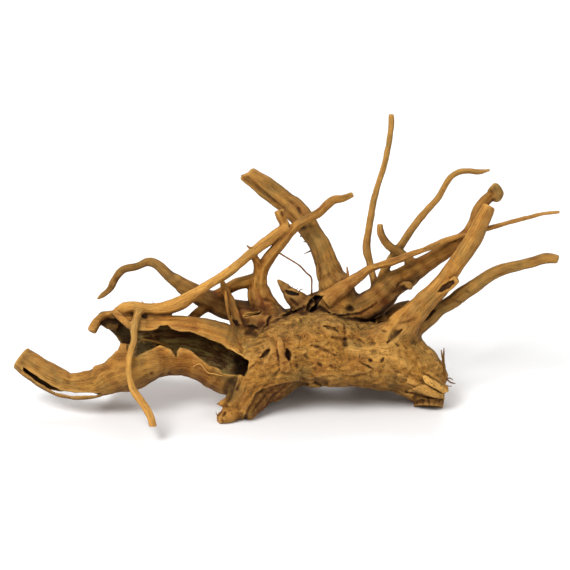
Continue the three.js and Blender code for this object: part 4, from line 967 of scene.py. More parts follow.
def press(field, line, half_width, depth, back, front, seed):
    """Presses a mark into the wood, or raises a welt, by adding its depth to the field."""
    window = window_round(field, line, 2 * half_width + 2, back - 4, front + 4)
    x, y, z = field.axes(window)
    share = mark_share(line, half_width, x[:, :, 0], y[:, :, 0], seed)
    reach = depth_reach(z, back, front, 4, 4)
    change = depth * share[:, :, None] * reach * facing(field, field.value[window])
    field.value[window] += change.astype(np.float32)


def grow_trunk(field):
    """Joins the hollow trunk with its window and torn left edge, and the bowed limb with its slit.

    They are carved in a box of their own, so that the hollow doesn't cut the burl.
    """
    low, high = (-278, -142, -60), (-14, -8, 66)
    box = Field(low, high, field.step)
    box.low = field.low + np.floor((np.asarray(low) - field.low) / field.step) * field.step
    everywhere = box.window(low, high)

    def part(rows, seed, unevenness):
        """One limb's field in the whole box."""
        window, distance, _, _ = limb_field(box, rows, seed, unevenness)
        whole = np.full(box.value.shape, FAR, np.float32)
        whole[window] = distance
        return whole

    shell = part(TRUNK, 61, 0.8)
    torn = cutter(box, everywhere, TORN_EDGE_OUTLINE, -WINDOW_REACH, WINDOW_REACH, 1.2, 21)
    shell = cut(shell, torn, 1.2)
    bowed = part(BOWED_LIMB, 63, 0.9)
    slit = cutter(box, everywhere, SLIT_OUTLINE, WINDOW_BACK, SLIT_FRONT, 0.7, 23)
    shell = joined(shell, cut(bowed, slit, 0.8), 8.0)
    inside = part(HOLLOW, 67, 0.5)
    shell = cut(shell, inside, 1.6)
    window = cutter(box, everywhere, WINDOW_OUTLINE, WINDOW_BACK, WINDOW_REACH, 0.6, 25)
    shell = cut(shell, window, 1.0)
    shell = joined(shell, part(HOOK, 65, 1.0), 3.0)
    shell = joined(shell, part(RIM_STRIP, 66, 1.0), 1.2)
    size = (np.array(box.value.shape) - 1) * box.step
    place = field.window(box.low + 1e-3, box.low + size - 1e-3)
    fit = tuple(slice(0, s.stop - s.start) for s in place)
    blend = flare(field.axes(place)[2], *TRUNK_FLARE)
    field.value[place] = joined(field.value[place], shell[fit], blend.astype(np.float32))


def roughen_burl(field):
    """Relief on the burl and the feet: slow lumps, and a granular crust where it faces up."""
    path = path_of(BURL, 8.0)
    window, near_burl, _ = swept(field, path, 14.0, BURL_DEPTH_SHARE)
    value = field.value[window]
    near = (np.abs(value) < 6) & (near_burl < 12)
    places = field.places(window, near)
    rise = field.slope(places, 3.0)
    rise = (rise[:, 1] + 0.4 * rise[:, 2]) / np.maximum(np.linalg.norm(rise, axis=1), 1e-6)
    crust = eased(rise, 0.3, 0.9)
    bent = places + 7 * np.stack([noise(places, 30.0, 76 + i) for i in range(3)], axis=-1)
    lumps = 2.2 * noise(places, 34.0, 71) + 0.8 * layered(places, 14.0, 72, 3)
    lumps += crust * (1.1 * layered(places, (9, 7, 9), 73, 3) + 0.4)
    wisps = np.clip(1 - np.abs(noise(bent, (22, 9, 12), 74)) * 4, 0, 1) ** 2
    creases = np.clip(1 - np.abs(noise(bent, (26, 15, 18), 75)) * 6, 0, 1) ** 2
    share = 1 - eased(near_burl[near], 2, 12)
    value[near] -= ((lumps + 0.7 * wisps - 0.7 * creases) * share).astype(np.float32)


def grow_root(step):
    """The whole root's field: the burl, feet, limbs and trunk joined, cut and marked in turn."""
    field = Field(GRID_LOW, GRID_HIGH, step)
    grow(field, BURL, SEEDS.burl, unevenness=0.7, depth_share=BURL_DEPTH_SHARE)
    for lump in BURL_LUMPS:
        grow_lump(field, lump)
    for i, rows in enumerate(FEET.values()):
        grow(field, rows, SEEDS.feet + i)
    for i, rows in enumerate(RIDGES.values()):
        grow(field, rows, SEEDS.ridges + i, blend_share=0.4)
    roughen_burl(field)
    for i, (name, rows) in enumerate(LIMBS.items()):
        grow(field, rows, SEEDS.limbs + i, crisp=name in CRISP_JOINTS)
    grow_trunk(field)
    for hole in HOLES:
        cut_hole(field, *hole)
    for i, (line, half_width, depth, _, _, back, front) in enumerate(MARKS):
        if depth:
            press(field, line, half_width, depth, back, front, SEEDS.marks + i)
    for i, (outline, height, _, _, back, front) in enumerate(PLATES):
        if height:
            lift(field, outline, height, back, front, SEEDS.plates + i)
    stand(field)
    return field


def stand(field):
    """Cuts the arch under the burl and trims the feet level with the floor."""
    whole = tuple(slice(0, n) for n in field.value.shape)
    across, up, out = field.axes(whole)
    shrink = 1 - out / VIEW_DISTANCE
    x = across * shrink - MIDDLE_ACROSS
    z = up * shrink * math.cos(VIEW_TILT) + out * math.sin(VIEW_TILT) + FLOOR_UNDER_DRAWING
    share = np.sqrt(((x - ARCH_MIDDLE) / ARCH_HALF_WIDTH) ** 2 + (z / ARCH_HEIGHT) ** 2)
    arch = (share - 1) * ARCH_HEIGHT
    field.value = cut(field.value, arch.astype(np.float32), 5.0)
    field.value = np.maximum(field.value, -z).astype(np.float32)


def level_surface(field):
    """The closed surface where the field is 0, as vertices and quads.

    Each cell that the surface crosses has one vertex, at the middle of its edges' crossings, and
    each grid edge that the surface crosses has one quad, from the four cells round it.
    """
    value = field.value
    inside = value < 0
    corners = list(np.ndindex(2, 2, 2))
    span = [slice(0, -1), slice(1, None)]
    count = sum(inside[tuple(span[c] for c in corner)].astype(np.uint8) for corner in corners)
    crossed = (count > 0) & (count < 8)
    number = np.full(crossed.shape, -1, np.int32)
    cells = np.argwhere(crossed)
    number[crossed] = np.arange(len(cells))
    at_corner = np.stack([value[tuple((cells + c).T)] for c in corners])
    total = np.zeros((len(cells), 3))
    hits = np.zeros(len(cells))
    for i, a in enumerate(corners):
        for j, b in enumerate(corners):
            if j > i and sum(np.abs(np.subtract(a, b))) == 1:
                change = (at_corner[i] < 0) != (at_corner[j] < 0)
                t = at_corner[i] / np.where(change, at_corner[i] - at_corner[j], 1)
                place = np.array(a) + t[:, None] * np.subtract(b, a)
                total += np.where(change[:, None], place, 0)
                hits += change
    vertices = field.low + (cells + total / hits[:, None]) * field.step
    quads = []
    for axis in range(3):
        first, second = (axis + 1) % 3, (axis + 2) % 3
        low = [slice(None)] * 3
        high = [slice(None)] * 3
        low[axis], high[axis] = slice(0, -1), slice(1, None)
        change = inside[tuple(low)] != inside[tuple(high)]
        edge = np.argwhere(change)
        edge = edge[(edge[:, first] > 0) & (edge[:, second] > 0)]
        ring = []
        for one, two in ((1, 1), (0, 1), (0, 0), (1, 0)):
            back = np.zeros(3, int)
            back[first], back[second] = one, two
            ring.append(number[tuple((edge - back).T)])
        ring = np.stack(ring, axis=1)
        outwards = inside[tuple(edge.T)]
        quads.append(np.where(outwards[:, None], ring, ring[:, ::-1]))
    return vertices, np.vstack(quads)


def mesh_of(name, vertices, faces):
    """A mesh from vertex rows and face rows of equal length."""
    mesh = bpy.data.meshes.new(name)
    corners = faces.shape[1]
    mesh.vertices.add(len(vertices))
    mesh.vertices.foreach_set("co", np.asarray(vertices, np.float32).ravel())
    mesh.loops.add(faces.size)
    mesh.loops.foreach_set("vertex_index", faces.astype(np.int32).ravel())
    mesh.polygons.add(len(faces))
    mesh.polygons.foreach_set("loop_start", np.arange(0, faces.size, corners, dtype=np.int32))
    mesh.update(calc_edges=True)
    mesh.polygons.foreach_set("use_smooth", np.ones(len(faces), bool))
    return mesh


def places_of(mesh):
    """A mesh's vertices as rows."""
    places = np.empty(len(mesh.vertices) * 3, np.float32)
    mesh.vertices.foreach_get("co", places)
    return places.reshape(-1, 3).astype(float)


def thinned(vertices, quads, triangles):
    """The surface with no more than the given number of triangles, fewest where it is flat."""
    mesh = mesh_of("dense_wood", vertices, quads)
    dense = bpy.data.objects.new("dense_wood", mesh)
    bpy.context.scene.collection.objects.link(dense)
    thin = dense.modifiers.new("thin", "DECIMATE")
    thin.ratio = min(1.0, triangles / (2 * len(quads)))
    thin.use_collapse_triangulate = True
    graph = bpy.context.evaluated_depsgraph_get()
    result = bpy.data.meshes.new_from_object(dense.evaluated_get(graph))
    places = places_of(result)
    faces = np.empty(len(result.polygons) * 3, np.int32)
    result.polygons.foreach_get("vertices", faces)
    bpy.data.objects.remove(dense)
    bpy.data.meshes.remove(mesh)
    bpy.data.meshes.remove(result)
    return places, faces.reshape(-1, 3)


def settled(vertices, field):
    """Vertices moved along the field's slope onto the surface where it is 0, in two Newton steps.

    A step goes along the gradient by the value over the gradient's square, and the slope read
    here is the gradient times 1.2 grid steps.
    """
    for _ in range(2):
        slope = field.slope(vertices, 0.6 * field.step)
        length = (slope**2).sum(axis=1) + 1e-6
        push = field.at(vertices) * 1.2 * field.step / length
        vertices = vertices - slope * np.clip(push, -0.6, 0.6)[:, None]
    return vertices


# How each limb's colour leans: [dark, red, grey, pale], each from 0 to 1
TONES = {
    "arch_twig_back_left": [0.6, 0.05, 0.65, 0],
    "strut_under_arch": [0.55, 0.1, 0.2, 0],
    "long_front_limb": [0, 0, 0, 0.55],
    "stub_on_front_limb": [0.05, 0.15, 0.2, 0.1],
    "fork": [0.2, 0.18, 0.25, 0.05],
    "prong_of_fork": [0.1, 0.25, 0.05, 0.05],
    "arch_to_back_limb": [0.25, 0.15, 0.15, 0],
    "flat_strip_of_middle_limb": [0.25, 0.05, 0.6, 0],
    "thick_middle_limb": [0.12, 0.05, 0.6, 0.05],
    "horn_by_middle_limb": [0.75, 0.85, 0, 0],
    "dark_stump": [0.65, 0.6, 0, 0],
    "stick_before_arch": [0.2, 0.55, 0, 0.05],
    "hanging_twig": [0, 0.05, 0, 0.6],
    "long_thin_limb": [0.12, 0.4, 0.12, 0.2],
    "upright_twig": [0.12, 0.05, 0.6, 0.2],
    "curved_twig": [0.12, 0.05, 0.6, 0.15],
    "hooked_twig": [0.3, 0.1, 0.4, 0],
    "rear_right_limb": [0.3, 0.2, 0.25, 0],
    "wart_on_rear_limb": [0.6, 0.35, 0, 0],
    "knob_on_rear_limb": [0.55, 0, 1, 0],
    "front_right_limb": [0.05, 0.2, 0.05, 0.3],
    "stub_on_front_right_limb": [0.1, 0.25, 0, 0.2],
    "low_right_limb": [0.12, 0.05, 0.7, 0.12],
    "dark_stub_behind": [0.8, 0.1, 0.4, 0],
    "backing_under_front_limb": [0.95, 0.1, 0, 0],
    "torn_tongue": [0.95, 0.1, 0, 0],
    "web_behind_hole": [0.6, 0.5, 0, 0],
    "mound_behind_burl": [0.6, 0.4, 0.2, 0],
    "back_limb": [0.15, 0.15, 0.15, 0.05],
    "back_twig": [0.2, 0.15, 0.15, 0],
    "back_limb_left": [0.2, 0.15, 0.15, 0],
    "back_twig_left": [0.2, 0.15, 0.15, 0],
    "trunk": [0.04, 0.22, 0.1, 0.12],
    "bowed_limb": [0.06, 0.04, 0.45, 0.2],
    "hook": [0.05, 0.05, 0.1, 0.4],
    "burl": [0, 0.05, 0.15, 0.15],
    "left_foot": [0.1, 0.05, 0.1, 0.15],
    "ridge_down_left_foot": [0, 0, 0.1, 0.35],
    "stray_stick_left": [0, 0.3, 0, 0.4],
    "split_strip_on_right_foot": [0, 0, 0, 0.9],
    "lower_strip_on_right_foot": [0, 0.1, 0, 0.6],
}
NO_TONE = [0.1, 0.1, 0.1, 0.1]

# How far the burl and the feet look like knotted bark; the limbs are smooth
KNOTTY = {
    "burl": 1, "left_foot": 0.6, "left_foot_heel": 1, "right_foot": 1, "right_foot_heel": 1,
    "back_foot_left": 1, "back_foot_right": 1,
}


def all_limbs():
    """Every limb that the wood's grain follows, by name."""
    whole = {"burl": BURL, "trunk": TRUNK, "bowed_limb": BOWED_LIMB, "hook": HOOK}
    for table in (FEET, RIDGES, LIMBS):
        whole.update(table)
    return whole


def sides_of_grain(paths):
    """0 or 1 for each limb, so that limbs that meet have different grain sets where they can."""
    sides = []
    for i, path in enumerate(paths):
        votes = [0, 0]
        for j in range(i):
            gap = np.linalg.norm(path.places[:, None] - paths[j].places[None], axis=2)
            gap = (gap - path.radii[:, None] - paths[j].radii[None]).min()
            votes[sides[j]] += max(0.0, 4 - gap)
        sides.append(0 if votes[0] <= votes[1] else 1)
    return sides


def nearest_on(path, places):
    """For each place, the path's arc place nearest to it and the distance to the limb there."""
    arc = np.empty(len(places))
    distance = np.empty(len(places))
    for first in range(0, len(places), ROWS_AT_ONCE):
        rows = slice(first, first + ROWS_AT_ONCE)
        off = places[rows, None] - path.places[None]
        gap = np.linalg.norm(off, axis=2) - path.radii[None]
        best = np.argmin(gap, axis=1)
        ahead = (off[np.arange(len(best)), best] * path.along[best]).sum(axis=1)
        arc[rows] = np.clip(path.arc[best] + ahead, 0, path.arc[-1])
        distance[rows] = gap[np.arange(len(best)), best]
    return arc, distance


def cut_ends(path, places, normals):
    """How far places lie on a limb's cut ends, from 0 to 1."""
    shares = []
    for tip, outwards in ((0, -1), (-1, 1)):
        place, away = path.places[tip], outwards * path.along[tip]
        beyond = (places - place) @ away
        square = eased(normals @ away, 0.55, 0.85)
        within = np.linalg.norm(places - place, axis=1) < path.radii[tip] + 2.5
        shares.append(eased(beyond, -1.6, -0.4) * square * within)
    return np.maximum(*shares)


def near_drawn(places, drawn, margin):
    """Which places lie in the box round drawn [across, up] points and a margin, at any depth."""
    low, high = np.min(drawn, axis=0) - margin, np.max(drawn, axis=0) + margin
    return np.flatnonzero(((places[:, :2] > low) & (places[:, :2] < high)).all(axis=1))


def lean(tone, near, leaning, share):
    """Leans the near places' tone by a share, where it leans less than that."""
    column = LEANINGS.index(leaning)
    tone[near, column] = np.maximum(tone[near, column], share)


def look_of(places, normals, field):
    """What the wood's material needs to know at each vertex.

    The straightened place along the nearest limb of each grain set, which of the two sets is
    nearer, how the colour leans, with undersides leaning dark as painted shade, and how far it is
    burl, the inside of the hollow, a cut end and a recess, which the material darkens as painted shade.
    """
    count = len(places)
    limbs = all_limbs()
    paths = [path_of(rows) for rows in limbs.values()]
    sides = sides_of_grain(paths)
    nearest = np.full((2, count), FAR)
    grain = np.zeros((2, count, 3))
    tone = np.zeros((count, 4))
    weight = np.full(count, 1e-6)
    knotty = np.zeros(count)
    ends = np.zeros(count)
    for i, (name, path) in enumerate(zip(limbs, paths)):
        share = BURL_DEPTH_SHARE if name == "burl" else 1.0
        spread = (path.radii.max() + 12) * np.array([1, 1, share])
        low, high = (path.places - spread).min(axis=0), (path.places + spread).max(axis=0)
        near = np.flatnonzero(((places > low) & (places < high)).all(axis=1))
        here = places[near]
        arc, distance = nearest_on(path, here)
        if name == "burl":
            distance = distance - BURL_LOOK_REACH
        line = straightened(path, here, arc)
        line[:, 0] += GRAIN_GAP * i
        side = sides[i]
        closer = distance < nearest[side, near]
        nearest[side, near[closer]] = distance[closer]
        grain[side, near[closer]] = line[closer]
        pull = np.exp(-np.clip(distance + 1, 0, 30) / TONE_FADE)
        tone[near] += pull[:, None] * np.array(TONES.get(name, NO_TONE))
        weight[near] += pull
        knotty[near] += pull * KNOTTY.get(name, 0)
        if name in LIMBS or name in ("bowed_limb", "hook"):
            ends[near] = np.maximum(ends[near], cut_ends(path, here, normals[near]))
    tone /= weight[:, None]
    knotty /= weight
    mix = eased(nearest[0] - nearest[1], -1.5, 1.5)

    # The hollow's wall: near the hollow's surface, well inside the trunk and between its two ends
    distance = nearest_on(path_of(HOLLOW), places)[1]
    outside = nearest_on(path_of(TRUNK), places)[1]
    inside = eased(-np.abs(distance), -4.0, -1.5) * eased(-outside, 2.5, 4.5)
    inside *= eased(-places[:, 0], 36, 40) * eased(places[:, 0], -178, -162)

    # Painted shade: the wood darkens where more wood crowds round it, as shade falls in recesses
    recess = crowding(field, places, normals)
    rise = normals[:, 1] * math.cos(VIEW_TILT) + normals[:, 2] * math.sin(VIEW_TILT)
    tone[:, 2] = np.maximum(tone[:, 2], 0.75 * knotty * eased(rise, 0.35, 0.95))
    # Painted shade: wood that faces down leans dark
    tone[:, 0] = np.maximum(tone[:, 0], 0.55 * eased(-rise, 0.0, 0.9))
    seen = eased(normals[:, 2], -0.4, 0.0)
    for i, (line, half_width, _, leaning, strength, back, front) in enumerate(MARKS):
        near = near_drawn(places, line, 3 * half_width)
        across, up, out = places[near].T
        share = strength * mark_share(line, half_width, across, up, SEEDS.marks + i)
        lean(tone, near, leaning, share * depth_reach(out, back, front, 3, 3) * seen[near])
    for i, (outline, _, leaning, strength, back, front) in enumerate(PLATES):
        near = near_drawn(places, outline, 3)
        across, up, out = places[near].T
        edge = plate_edge(outline, across, up, SEEDS.plates + i)
        share = strength * eased(-edge, -0.9, 0.5)
        lean(tone, near, leaning, share * depth_reach(out, back, front, 0, 4) * seen[near])
    return SimpleNamespace(
        grain=grain, mix=mix, tone=tone,
        kind=np.stack([knotty, inside, ends, recess], axis=-1),
    )


def crowding(field, places, normals):
    """How much wood stands round each place, from 0 in the open to 1 deep in a hollow.

    The wood is counted in coarse cells, spread out by repeated averaging, and read a little way
    off the surface. The material darkens the wood by it, as painted shade in hollows and recesses.
    """
    block = 4
    shape = [n // block * block for n in field.value.shape]
    full = (field.value[: shape[0], : shape[1], : shape[2]] < 0).astype(np.float32)
    coarse = full.reshape(shape[0] // block, block, shape[1] // block, block, -1, block)
    coarse = coarse.mean(axis=(1, 3, 5))
    levels = []
    for turn in range(5):
        for axis in range(3):
            padded = np.pad(coarse, [(1, 1) if i == axis else (0, 0) for i in range(3)])
            shifted = [
                tuple(slice(k, k + coarse.shape[axis]) if i == axis else slice(None) for i in range(3))
                for k in range(3)
            ]
            coarse = sum(padded[part] for part in shifted) / 3
        if turn in (1, 4):
            levels.append(coarse)
    total = np.zeros(len(places))
    for level, off in zip(levels, (6.0, 14.0)):
        blurred = Field(field.low + (block - 1) / 2 * field.step, field.low + 1, field.step * block)
        blurred.value = level
        total += eased(blurred.at(places + normals * off), 0.05, 0.55) / 2
    return total


def smoothed(values, edges, turns):
    """Vertex values averaged with their neighbours', a number of times."""
    count = np.bincount(edges.ravel(), minlength=len(values))[:, None] + 1.0
    for _ in range(turns):
        total = values.copy()
        for axis in range(values.shape[1]):
            total[:, axis] += np.bincount(edges[:, 0], values[edges[:, 1], axis], len(values))
            total[:, axis] += np.bincount(edges[:, 1], values[edges[:, 0], axis], len(values))
        values = total / count
    return values


def ridges_of(mesh, places, normals):
    """How far each vertex stands out of the wood round it, in mm; less than 0 in a groove."""
    edges = np.empty(len(mesh.edges) * 2, np.int32)
    mesh.edges.foreach_get("vertices", edges)
    edges = edges.reshape(-1, 2)
    middle = smoothed(places, edges, 3)
    ridge = ((places - middle) * normals).sum(axis=1)[:, None]
    return smoothed(ridge, edges, 1)[:, 0]


def fine_relief(places, look):
    """The last relief, in mm: grooves along the limbs, pits and grain on the burl."""
    total = np.zeros(len(places))
    for side in range(2):
        share = look.mix if side else 1 - look.mix
        line = look.grain[side]
        grooves = noise(line, (42, 2.4, 2.4), 11) + 0.7 * noise(line, (24, 1.5, 1.5), 12)
        grooves -= 0.6 * np.clip(1 - 6 * np.abs(noise(line, (60, 4.5, 4.5), 13)), 0, 1)
        total += share * 0.32 * grooves
    knotty, _, ends, _ = look.kind.T
    bark = 0.34 * layered(places, 4.0, 15, 2)
    pits = eased(noise(places, 3.4, 16), 0.46, 0.62)
    bark -= 0.8 * pits
    total = total * (1 - 0.75 * knotty) * (1 - ends) + bark * knotty
    return total + ends * 0.15 * noise(places, 1.6, 17)


def tubes(tables, sides=7):
    """Closed tubes along the tables' paths: rings of one section carried along each, and two tips.

    The rings' radii carry a little noise, and each end closes on one vertex.
    """
    vertices, faces, grain, start = [], [], [], 0
    turn = np.arange(sides) / sides * 2 * np.pi
    for i, rows in enumerate(tables):
        path = path_of(rows, step=1.6)
        count = len(path.places)
        swelling = noise(np.stack([path.arc] * 3, axis=-1), 5.0, SEEDS.tubes + i)
        radii = path.radii * (1 + 0.22 * swelling)
        off = np.cos(turn)[:, None] * path.side[:, None] + np.sin(turn)[:, None] * path.cross[:, None]
        rings = path.places[:, None] + radii[:, None, None] * off
        tips = path.places[[0, -1]] + path.along[[0, -1]] * radii[[0, -1], None] * [[-0.6], [0.6]]
        vertices.append(np.vstack([rings.reshape(-1, 3), tips]))
        ring_grain = np.stack(np.broadcast_arrays(
            path.arc[:, None] + 90 * i, np.cos(turn) * 1.5, np.sin(turn) * 1.5
        ), axis=-1)
        grain.append(np.vstack([ring_grain.reshape(-1, 3), ring_grain[[0, -1], 0]]))
        a = (np.arange(count - 1)[:, None] * sides + np.arange(sides)).ravel()
        b = (np.arange(count - 1)[:, None] * sides + (np.arange(sides) + 1) % sides).ravel()
        around, ahead = np.arange(sides), (np.arange(sides) + 1) % sides
        last = (count - 1) * sides
        faces.append(start + np.vstack([
            np.stack([a, b, b + sides], axis=1),
            np.stack([a, b + sides, a + sides], axis=1),
            np.stack([ahead, around, np.full(sides, last + sides)], axis=1),
            np.stack([last + around, last + ahead, np.full(sides, last + sides + 1)], axis=1),
        ]))
        start += last + sides + 2
    return np.vstack(vertices), np.vstack(faces), np.vstack(grain)


def resting(rows, wood):
    """Fibre rows of [across, up, lift, radius] as rows with the place out of the wood behind them."""
    placed = []
    for across, up, lift, radius in rows:
        near, far = to_room(np.array([[across, up, FIBRE_FRONT], [across, up, FIBRE_BACK]]))
        aim = Vector(far - near).normalized()
        hit, place, _, _ = wood.ray_cast(Vector(near), aim)
        if not hit:
            raise RuntimeError(f"no wood behind the fibre at {across}, {up}")
        share = (place - Vector(near)).length / float(np.linalg.norm(far - near))
        out = FIBRE_FRONT + (FIBRE_BACK - FIBRE_FRONT) * share
        placed.append([across, up, out + lift, radius])
    return placed


def add_look(mesh, grain, mix, tone, kind, ridge):
    """The vertex attributes that the wood's material reads."""
    for name, form, values in (
        ("grain_a", "FLOAT_VECTOR", grain[0]), ("grain_b", "FLOAT_VECTOR", grain[1]),
        ("grain_mix", "FLOAT", mix), ("tone", "FLOAT_COLOR", tone),
        ("kind", "FLOAT_COLOR", kind), ("ridge", "FLOAT", ridge),
    ):
        layer = mesh.attributes.new(name, form, "POINT")
        part = {"FLOAT": "value", "FLOAT_VECTOR": "vector", "FLOAT_COLOR": "color"}[form]
        layer.data.foreach_set(part, np.asarray(values, np.float32).ravel())


def place_tubes(name, tables, tone, settings):
    """A piece of tubes in the wood's material, leaning to one tone."""
    vertices, faces, grain = tubes(tables)
    piece = place_piece(name, to_room(vertices), faces, wood_material(settings))
    count = len(vertices)
    zero = np.zeros(count)
    tones, kinds = np.tile(tone, (count, 1)), np.zeros((count, 4))
    add_look(piece.data, (grain, grain), zero, tones, kinds, zero)


def place_piece(name, vertices, faces, material):
    """A finished piece at the origin, in the room's metres, that rides on the root."""
    mesh = mesh_of(name, vertices, faces)
    mesh.materials.append(material)
    piece = bpy.data.objects.new(name, mesh)
    bpy.context.scene.collection.objects.link(piece)
    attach(piece, BODY)
    return piece


def linear(red, green, blue):
    """A colour given as it shows on a screen, 0 to 255, as the linear values Blender uses."""
    share = np.array([red, green, blue]) / 255
    return tuple(np.where(share <= 0.04045, share / 12.92, ((share + 0.055) / 1.055) ** 2.4))


class Nodes:
    """Adds and links the nodes of one tree."""

    def __init__(self, tree):
        self.tree = tree

    def add(self, kind, inputs=(), **settings):
        """A node of a kind, with its settings; an input is a value or another node's socket."""
        node = self.tree.nodes.new(kind)
        for name, value in settings.items():
            setattr(node, name, value)
        for name, value in dict(inputs).items():
            if isinstance(value, bpy.types.NodeSocket):
                self.tree.links.new(value, node.inputs[name])
            else:
                node.inputs[name].default_value = value
        return node

    def math(self, operation, a, b=0.0):
        """One sum, difference or other operation on values or sockets."""
        return self.add("ShaderNodeMath", {0: a, 1: b}, operation=operation).outputs[0]

    def times(self, *values):
        """The product of values or sockets."""
        product = values[0]
        for value in values[1:]:
            product = self.math("MULTIPLY", product, value)
        return product

    def mix(self, share, a, b):
        """A mix of two colours; the share and either colour may be sockets."""
        a, b = (c if isinstance(c, bpy.types.NodeSocket) else (*c, 1) for c in (a, b))
        return self.add("ShaderNodeMix", {0: share, 6: a, 7: b}, data_type="RGBA").outputs[2]

    def coated(self, colour, coats):
        """A colour under coats of [share, colour], each mixed over the ones before it."""
        for share, coat in coats:
            colour = self.mix(share, colour, coat)
        return colour

    def mix_values(self, share, a, b):
        """A mix of two values or sockets."""
        return self.add("ShaderNodeMix", {0: share, 2: a, 3: b}, data_type="FLOAT").outputs[0]

    def ramp(self, value, stops):
        """A colour ramp from [place, colour] stops."""
        node = self.add("ShaderNodeValToRGB", {0: value})
        marks = node.color_ramp.elements
        while len(marks) < len(stops):
            marks.new(0.5)
        for mark, (place, colour) in zip(marks, stops):
            mark.position = place
            mark.color = (*colour, 1)
        return node.outputs[0]

    def span(self, value, low, high, to_low=0.0, to_high=1.0):
        """The value's share of the way from low to high, clamped and set from to_low to to_high."""
        node = self.add("ShaderNodeMapRange", {0: value, 1: low, 2: high, 3: to_low, 4: to_high})
        return node.outputs[0]

    def noise(self, vector, scale, detail=3.0, roughness=0.55, distortion=0.0):
        """The value of a noise texture at a place."""
        inputs = {
            "Vector": vector, "Scale": scale, "Detail": detail,
            "Roughness": roughness, "Distortion": distortion,
        }
        return self.add("ShaderNodeTexNoise", inputs).outputs[0]

    def attribute(self, name, output="Fac"):
        """A vertex attribute, as a value or as its Vector, Color or Alpha."""
        return self.add("ShaderNodeAttribute", attribute_name=name).outputs[output]

    def group(self, name, build, keys, place):
        """The output sockets of a shared group that works a value out for each key at a place."""
        if name not in bpy.data.node_groups:
            tree = bpy.data.node_groups.new(name, "ShaderNodeTree")
            tree.interface.new_socket("place", in_out="INPUT", socket_type="NodeSocketVector")
            for key in keys:
                tree.interface.new_socket(key, in_out="OUTPUT", socket_type="NodeSocketFloat")
            nodes = Nodes(tree)
            values = build(nodes, nodes.add("NodeGroupInput").outputs["place"])
            nodes.add("NodeGroupOutput", dict(zip(keys, values)))
        tree = bpy.data.node_groups[name]
        return self.add("ShaderNodeGroup", {"place": place}, node_tree=tree).outputs


STREAKS = ("broad", "fine", "cracks", "rings", "nicks")
SPECKLES = ("grains", "mottle", "patches", "drift", "pits")


def streaks(nodes, place):
    """Streaks along a limb, from its straightened place in mm, for each of STREAKS in turn."""

    def stretched(along, across):
        """The place stretched along the limb and across it."""
        inputs = {0: place, 1: (along, across, across)}
        return nodes.add("ShaderNodeVectorMath", inputs, operation="MULTIPLY").outputs[0]

    broad = nodes.noise(stretched(0.016, 0.17), 1.0, 3.0, 0.5, 0.5)
    fine = nodes.noise(stretched(0.035, 0.85), 1.0, 3.0, 0.6, 0.3)
    crack = nodes.noise(stretched(0.03, 0.42), 1.0, 2.0, 0.5, 0.8)
    off = nodes.math("ABSOLUTE", nodes.math("SUBTRACT", crack, 0.5))
    radius = nodes.add("ShaderNodeVectorMath", {0: stretched(0.0, 1.0)}, operation="LENGTH")
    wobble = nodes.times(nodes.noise(stretched(0.0, 0.3), 1.0, 2.0), 2.6)
    ring = nodes.math("SINE", nodes.times(nodes.math("ADD", radius.outputs[1], wobble), 2.1))
    nick = nodes.noise(stretched(0.11, 0.75), 1.0, 2.0, 0.5, 0.4)
    return (
        broad, fine, nodes.span(off, 0.028, 0.0), nodes.span(ring, -1.0, 1.0),
        nodes.span(nick, 0.66, 0.74),
    )


def speckles(nodes, place):
    """Speckled bark, from a place in metres, for each of SPECKLES in turn."""
    return (
        nodes.noise(place, 620.0, 5.0, 0.68, 0.3),
        nodes.noise(place, 190.0, 4.0, 0.62, 1.6),
        nodes.noise(place, 62.0, 4.0, 0.6, 1.0),
        nodes.noise(place, 30.0, 4.0, 0.6, 0.8),
        nodes.span(nodes.noise(place, 330.0, 2.0, 0.5), 0.61, 0.68),
    )


def look_nodes(nodes):
    """The sockets that the wood's colour is mixed from: its attributes, streaks and speckles."""
    look = SimpleNamespace(ridge=nodes.attribute("ridge"))
    tone = nodes.add("ShaderNodeSeparateColor", {0: nodes.attribute("tone", "Color")})
    look.dark, look.red, look.grey = tone.outputs
    look.pale = nodes.attribute("tone", "Alpha")
    kind = nodes.add("ShaderNodeSeparateColor", {0: nodes.attribute("kind", "Color")})
    look.knotty, look.inside, look.ends = kind.outputs
    look.recess = nodes.attribute("kind", "Alpha")
    first, second = (
        nodes.group("lengthwise streaks", streaks, STREAKS, nodes.attribute(name, "Vector"))
        for name in ("grain_a", "grain_b")
    )
    share = nodes.attribute("grain_mix")
    for key in STREAKS:
        setattr(look, key, nodes.mix_values(share, first[key], second[key]))
    place = nodes.add("ShaderNodeTexCoord").outputs["Object"]
    bark = nodes.group("bark speckle", speckles, SPECKLES, place)
    for key in SPECKLES:
        setattr(look, key, bark[key])
    look.pits = nodes.times(look.pits, nodes.span(look.knotty, 0.0, 1.0, 0.15, 0.7))
    return look


